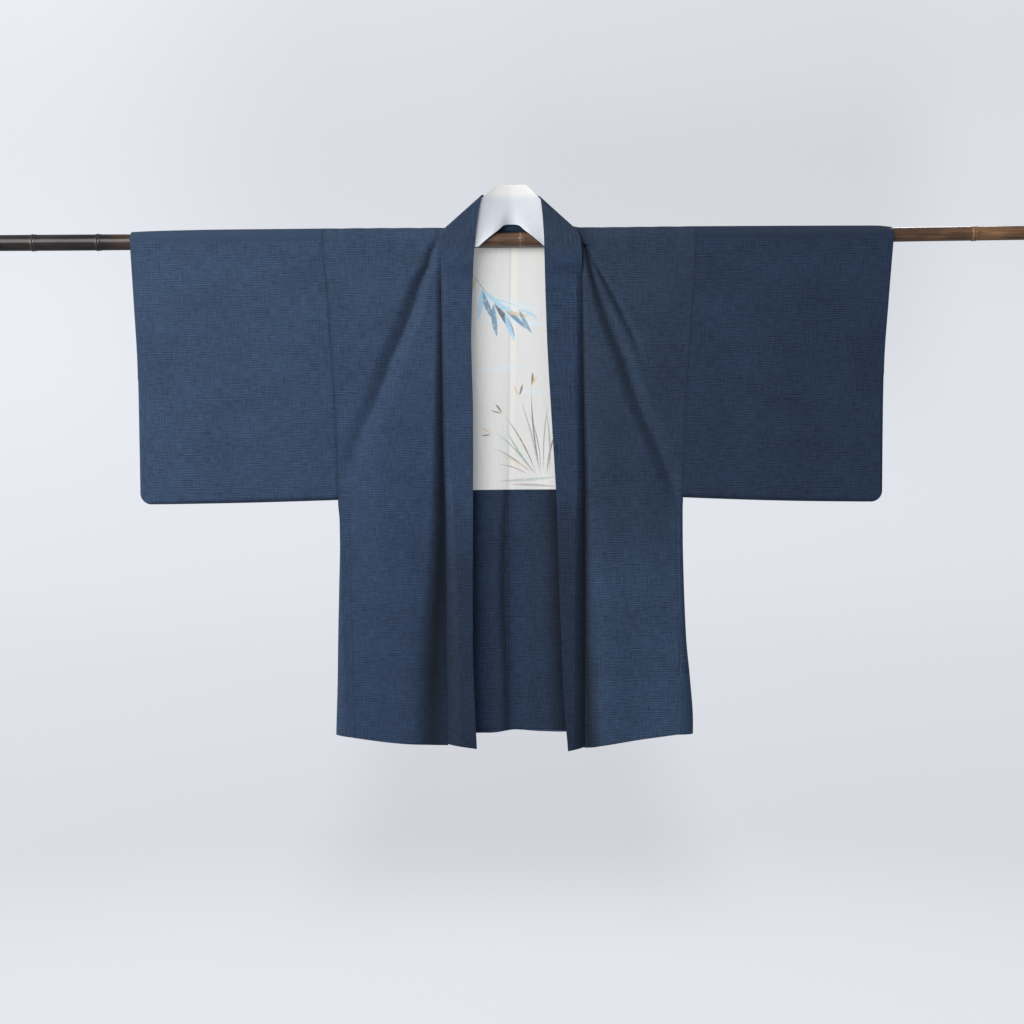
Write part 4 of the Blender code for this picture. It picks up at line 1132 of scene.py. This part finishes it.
# %% The collar's white lining behind the neck
# It lies on the collar's inner face, so its lines move outwards along the face's normals
neck_left = turn_lines(LEFT, [NECK_START[LEFT]] + COLLAR_NECK)
neck_right = turn_lines(RIGHT, [NECK_START[RIGHT]] + COLLAR_NECK[:-1])
lines = np.concatenate([neck_left, neck_right[::-1]])
normals = np.cross(np.gradient(lines, axis=1), np.gradient(lines, axis=0))
normals /= np.linalg.norm(normals, axis=2)[:, :, None]
normals *= -np.sign(normals[len(normals) // 2, COLLAR_COLUMNS // 2, 1])
lines += normals * (COLLAR_CLOTH / 2 + LAYER_GAP + LINING_CLOTH / 2)
lines[:, :, 0] += np.sign(lines[:, -1:, 0]) * TUCK_X * TUCKED
lines[:, :, 2] += TUCK_Z * (TUCKED - (1.0 - STRIP_SHARES) ** SEAM_TUCK_POWER)
collar_lining = new_cloth("collar_lining_silk", loft(lines, least_step=0.002), LINING_CLOTH,
                          collar_silk, columns=40, rows=120)

# %% [markdown]
# ## The sleeves
# A haori sleeve is a flat bag: one length of cloth folded over the rod, sewn along the bottom and up the
# lower part of the outer edge, and open above as the cuff. A flattened tube could be scaled to that outline,
# but not rounded at one corner and closed along half an edge. Its section is a closed loop, so the grid is
# wrapped round and its two side edges are welded along the seam at the bottom.

# %% Sleeve sizes
SLEEVE = table(
    "z edge_left edge_right depth",
    (0, 657.2, 658.8, 13.8), (-120, 651, 648.8, 10), (-210, 647, 642.2, 6.6), (-295, 645.7, 639.6, 4.2),
    (-455, 644, 636.8, 3.4),
)
SLEEVE_FOLDS = {
    LEFT: [
        fold(0.8, (-6, 339.5, 3, 4, 0), (-18, 341.5, 3, 4, 1.6), (-32, 345.5, 4, 4, 0)),
        fold(0.8, (-6, 333, 4, 3, 0), (-20, 330.5, 4, 3, 1.6), (-38, 328, 4, 3, 0)),
        fold(0.2, (-4, 336, 5, 5, 0), (-30, 336, 6, 6, -1.2), (-100, 335, 10, 10, 0)),
        fold(0, (-60, 500, 60, 60, 0), (-250, 480, 80, 70, 2.2), (-440, 470, 90, 80, 1)),
    ],
    RIGHT: [
        fold(0, (-40, 560, 60, 50, 0), (-200, 540, 70, 60, 2.2), (-440, 520, 80, 70, 1.2)),
        fold(0, (-120, 380, 40, 40, 0), (-300, 385, 50, 50, 1.6), (-440, 390, 50, 50, 0.6)),
    ],
}
SLEEVE_LENGTH = 0.94
SLEEVE_DIP = {LEFT: 0.0052, RIGHT: 0.0102}
SLEEVE_SAG = {LEFT: 0.0012, RIGHT: 0.0020}
SLEEVE_FULLNESS = 0.0035
FULLNESS_REACH = 0.15
CORNER_RADIUS = 0.0185
CORNER_START = 0.78
CUFF_BLEND = 0.012
EDGE_CLOSE = 0.0045
BOTTOM_ROUND = 0.9
LEAST_DEPTH = 0.0001
WIDTH_HEIGHT = -0.2
# Shares of half the loop, and the run along the cloth there: the bottom, the side, and over the rod
LOOP_SHARES = [0.0, 0.06, 0.86, 1.0]
LOOP_RUNS = [0.0, 0.012, -SLEEVE_BOTTOM, 1.0 - SLEEVE_BOTTOM]


def quarter_round(share):
    """A quarter circle: 0 at 0, 1 at 1, and level there."""
    return np.sqrt(np.clip(1 - (1 - share) ** 2, 0, 1))


print("folds of the sleeves:", [len(folds) for folds in SLEEVE_FOLDS.values()])


# %% Shape of a sleeve
def sleeve_shape(side):
    def shape(u, v):
        # Out along the arm, and round the lower corner of the cuff
        width = read(SLEEVE, WIDTH_HEIGHT, "edge", side) - read(BODY, WIDTH_HEIGHT, "front", side)
        turn = np.clip((v - CORNER_START) / (1 - CORNER_START), 0, 1) * math.pi / 2
        before = v < CORNER_START
        flat_share = v / CORNER_START * (1 - CORNER_RADIUS / width)
        share = np.where(before, flat_share, 1 - CORNER_RADIUS * (1 - np.sin(turn)) / width)
        lift = np.where(before, 0, CORNER_RADIUS * (1 - np.cos(turn)))
        swell = np.sin(math.pi * share)
        bottom = SLEEVE_BOTTOM - SLEEVE_DIP[side] * share - SLEEVE_SAG[side] * swell + lift

        # Along the loop: up the front from the bottom seam, over the rod, and down the back
        around = 1 - np.abs(2 * u - 1)
        back = u > 0.5
        length = np.interp(around, LOOP_SHARES, LOOP_RUNS)
        rise = np.clip(length / -SLEEVE_BOTTOM, 0.0, 1.0)
        z = mix(bottom, 0.0, rise)
        x = mix(read(BODY, z, "front", side) + SEAM_GAP / 2, read(SLEEVE, z, "edge", side), share)

        # Half the bag's depth: it closes below the cuff and at the bottom
        depth = mix(read(BODY, z, "side"), read(SLEEVE, z, "depth"), share)
        depth = depth + SLEEVE_FULLNESS * swell * ease(-z / FULLNESS_REACH)
        near_edge = quarter_round(np.clip((1 - share) * width / EDGE_CLOSE, 0, 1))
        depth = depth * mix(1.0, near_edge, ease((CUFF_END - z) / CUFF_BLEND))
        up = np.clip((z - bottom) / (BOTTOM_ROUND * depth + LEAST_DEPTH), 0.0, 1.0)
        depth = depth * quarter_round(up)
        depth = depth - np.where(back, 0.0, 1.0) * fold_depth(SLEEVE_FOLDS[side], x, z)

        over = (1 - np.clip(length + SLEEVE_BOTTOM, 0.0, 1.0)) * math.pi / 2
        forwards, top = over_rod(side, x, over)
        on_top = length + SLEEVE_BOTTOM > 0
        y = np.where(on_top, -forwards, depth)
        points = np.stack([side * x, np.where(back, y, -y), z + np.where(on_top, top, 0.0)], axis=1)
        return points, np.stack([x, np.where(back, SLEEVE_LENGTH - length, length)], axis=1)

    return shape


# %% The two sleeves
sleeves = {}
for side, side_name in SIDE_NAMES.items():
    sleeves[side] = new_cloth("sleeve_silk_" + side_name, sleeve_shape(side), SLEEVE_CLOTH,
                              sleeve_navy_painted_light[side], columns=260, rows=80, weld=0.00002,
                              shade=sleeve_shade(side))

# %% [markdown]
# ## The wedges
# Below the sleeves a narrow wedge joins front and back at each side and widens towards the hem. A half tube
# would bulge evenly, while the real wedge lies flat along the front and turns in at the back. So at each
# height it is a Bezier curve: along the front's plane, round the side, and in to the back's edge.

# %% The side wedges
# How far out the wedge reaches on each side
WEDGE = table(
    "z reach_left reach_right",
    (-447, 301, 292.4), (-520, 300.2, 292), (-600, 302, 293.2), (-690, 304.2, 296.2), (-760, 305.3, 301.8),
    (-830, 307.3, 306), (-856, 308, 305.4),
)
WEDGE_TOP_GAP = 0.0014
WEDGE_HEM_DROP = 0.0018
WEDGE_HEM_RISE = {LEFT: 0.0030, RIGHT: 0.0}
FRONT_GAP = 0.0001
BACK_GAP = 0.0010
LEAST_BULGE = 0.0006
BACK_LAP_Y = 0.0006
# How far in front of the rod's axis the curve's two control points are, as shares of the side's depth
FIRST_PULL = 0.95
SECOND_PULL = 0.30


def wedge_shape(side):
    def shape(u, v):
        hem = SIDE_HEM - WEDGE_HEM_DROP + WEDGE_HEM_RISE[side] * np.sin(math.pi * u)
        z = mix(SLEEVE_BOTTOM - WEDGE_TOP_GAP, hem, v)
        depth = read(BODY, z, "side")
        front = read(BODY, z, "front", side) + FRONT_GAP
        back = read(BODY, z, "back", side) + BACK_GAP
        # The Bezier curve's middle is an eighth of each end and three quarters of its control points
        reach = read(WEDGE, z, "reach", side) - BODY_CLOTH / 2
        outer = np.maximum((reach - 0.125 * (front + back)) / 0.75, front + LEAST_BULGE)
        start, first, second, end = (1 - u) ** 3, 3 * u * (1 - u) ** 2, 3 * u ** 2 * (1 - u), u ** 3
        x = front * start + outer * (first + second) + back * end
        y = (-depth * start - FIRST_PULL * depth * first - SECOND_PULL * depth * second
             + (depth + BACK_LAP_Y) * end)
        return np.stack([side * x, y, z], axis=1), np.stack([mix(-depth, depth, u), z], axis=1)

    return shape


wedges = {}
for side, side_name in SIDE_NAMES.items():
    wedges[side] = new_cloth("side_wedge_silk_" + side_name, wedge_shape(side), BODY_CLOTH, body_navy_painted_light[side],
                             columns=22, rows=100)

# %% [markdown]
# ## The bamboo rod
# The rod is a smoked bamboo cane, with a raised ring at each node where a leaf grew. A cylinder with rings
# laid round it would show where they meet. Instead the whole outline is spun about the X axis, as on a
# lathe, so cane and rings are one skin. The bends at its ends are put in last.

# %% The outline of the cane
# Where each ring is along the rod, and how far it rises: both in millimetres
RINGS = {-826: 1.3, -714: 1.3, -545: 0.2, -360: 0.2, -165: 0.2,
         17: 0.4, 205: 0.2, 400: 0.2, 600: 0.2, 799: 1.3}
# Along a ring, in millimetres: the share of its rise, and how light the scar of the leaf is
RING_OUTLINE = [(-6, 0.0, 1.0), (-3.4, 0.35, 1.2), (-1.8, 0.85, 1.9), (-0.8, 1.0, 2.4), (0.2, 0.5, 1.9),
                (0.8, 0.1, 0.5), (1.4, 0.35, 0.8), (2.4, 0.7, 1.5), (4.2, 0.3, 1.2), (7, 0.0, 1.0)]
RING_ROOM = 7.5
# The sawn ends: how far in, how much thinner, and how light
END_OUTLINE = [(0.0, 0.0012, 1.6), (0.0004, 0.0004, 1.3), (0.0012, 0.0, 1.0)]
# Past the sleeves the cane thickens a little at one end, and bends up at both
CANE = table("x thicker up", (-905, 1.4, 1.3), (-760, 1.5, 1.0), (-660, 1.2, 0.9), (-580, 0, 0), (0, 0, 0),
             (580, 0, 0), (660, -0.2, 3.4), (760, -0.2, 4.2), (905, -0.4, 5.0))
outline = [(inset - ROD_HALF_LENGTH, ROD_RADIUS - thinner, light) for inset, thinner, light in END_OUTLINE]
for x in sorted([*RINGS, *range(-880, 881, 20)]):
    if x in RINGS:
        outline += [((x + off) / 1000, ROD_RADIUS + RINGS[x] / 1000 * share, light)
                    for off, share, light in RING_OUTLINE]
    elif min(abs(x - ring) for ring in RINGS) > RING_ROOM:
        outline.append((x / 1000, ROD_RADIUS, 1.0))
outline += [(ROD_HALF_LENGTH - inset, ROD_RADIUS - thinner, light)
            for inset, thinner, light in reversed(END_OUTLINE)]
print(len(outline), "places along the cane")

# %% Turn the rod
ROD_SIDES = 48
bm = bmesh.new()
light = bm.verts.layers.float.new("light")
line = [bm.verts.new((-ROD_HALF_LENGTH, 0, 0))]
for x, radius, lightness in outline:
    line.append(bm.verts.new((x, 0, radius + float(curve(CANE["x"], CANE["thicker"], x)))))
    line[-1][light] = lightness
line.append(bm.verts.new((ROD_HALF_LENGTH, 0, 0)))
line[0][light] = line[-1][light] = END_OUTLINE[0][2]
turned(bm, line, (1, 0, 0), ROD_SIDES, weld=0.00001)
for vert in bm.verts:
    vert.co.z += float(curve(CANE["x"], CANE["up"], vert.co.x))
print("rod", len(bm.faces), "faces")

# %% The smoked bamboo
# The smoke darkened one end of the cane more than the other: x and colour
CANE_TONES = [
    (-0.905, (0.0205, 0.0155, 0.0130)), (-0.70, (0.0205, 0.0155, 0.0138)), (-0.66, (0.060, 0.036, 0.024)),
    (-0.10, (0.110, 0.062, 0.036)), (0.15, (0.120, 0.066, 0.038)), (0.70, (0.110, 0.058, 0.032)),
    (0.79, (0.140, 0.074, 0.038)), (0.81, (0.230, 0.118, 0.054)), (0.905, (0.170, 0.086, 0.042)),
]
bamboo = Paint("smoked_bamboo")
place = bamboo.place("Object")
along = bamboo.spread(bamboo.axes(place)[0], -ROD_HALF_LENGTH, ROD_HALF_LENGTH)
stain = bamboo.ramp(along, [(0.5 + 0.5 * x / ROD_HALF_LENGTH, tone) for x, tone in CANE_TONES])
fibre = bamboo.spread(bamboo.noise(place, (14.0, 600.0, 600.0)), 0.30, 0.70, 0.55, 1.45)
smoke = bamboo.spread(bamboo.noise(place, (22.0, 70.0, 70.0), 4.0), 0.30, 0.70, 0.60, 1.40)
tone = bamboo.calc("MULTIPLY", bamboo.calc("MULTIPLY", fibre, smoke), bamboo.light())
rod = add_object("smoked_bamboo_rod", bm, bamboo.finish({
    "Base Color": bamboo.scaled(stain, tone), "Roughness": bamboo.spread(smoke, 0.60, 1.40, 0.26, 0.18),
    "Normal": bamboo.raised(fibre, 0.25, 0.0002), "Specular IOR Level": 0.4}))
print("bamboo of", len(bamboo.tree.nodes), "nodes")

# %% [markdown]
# ## Joining the frame
# Everything rides on the one body, and each new piece stands for the plain solid in the same place.

# %% Ride and replace
STANDS_FOR = [
    (panels[LEFT], "body_panel_left", "navy_silk"),
    (panels[RIGHT], "body_panel_right", "navy_silk"),
    (sleeves[LEFT], "sleeve_left", "navy_silk"),
    (sleeves[RIGHT], "sleeve_right", "navy_silk"),
    (wedges[LEFT], "gusset_left", "navy_silk"),
    (wedges[RIGHT], "gusset_right", "navy_silk"),
    (collars[LEFT], "collar_left", "navy_collar"),
    (collars[RIGHT], "collar_right", "navy_collar"),
    (collar_lining, "collar_lining", "white_lining"),
    (back_lining, "back_lining", "white_lining"),
    (back_facing, "back_facing", "navy_silk"),
    (rod, "bamboo_rod", "bamboo"),
]
for piece, node, finish in STANDS_FOR:
    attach(piece, "root")
    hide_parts(node)
print(len(STANDS_FOR), "pieces stand for", len(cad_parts), "nodes")
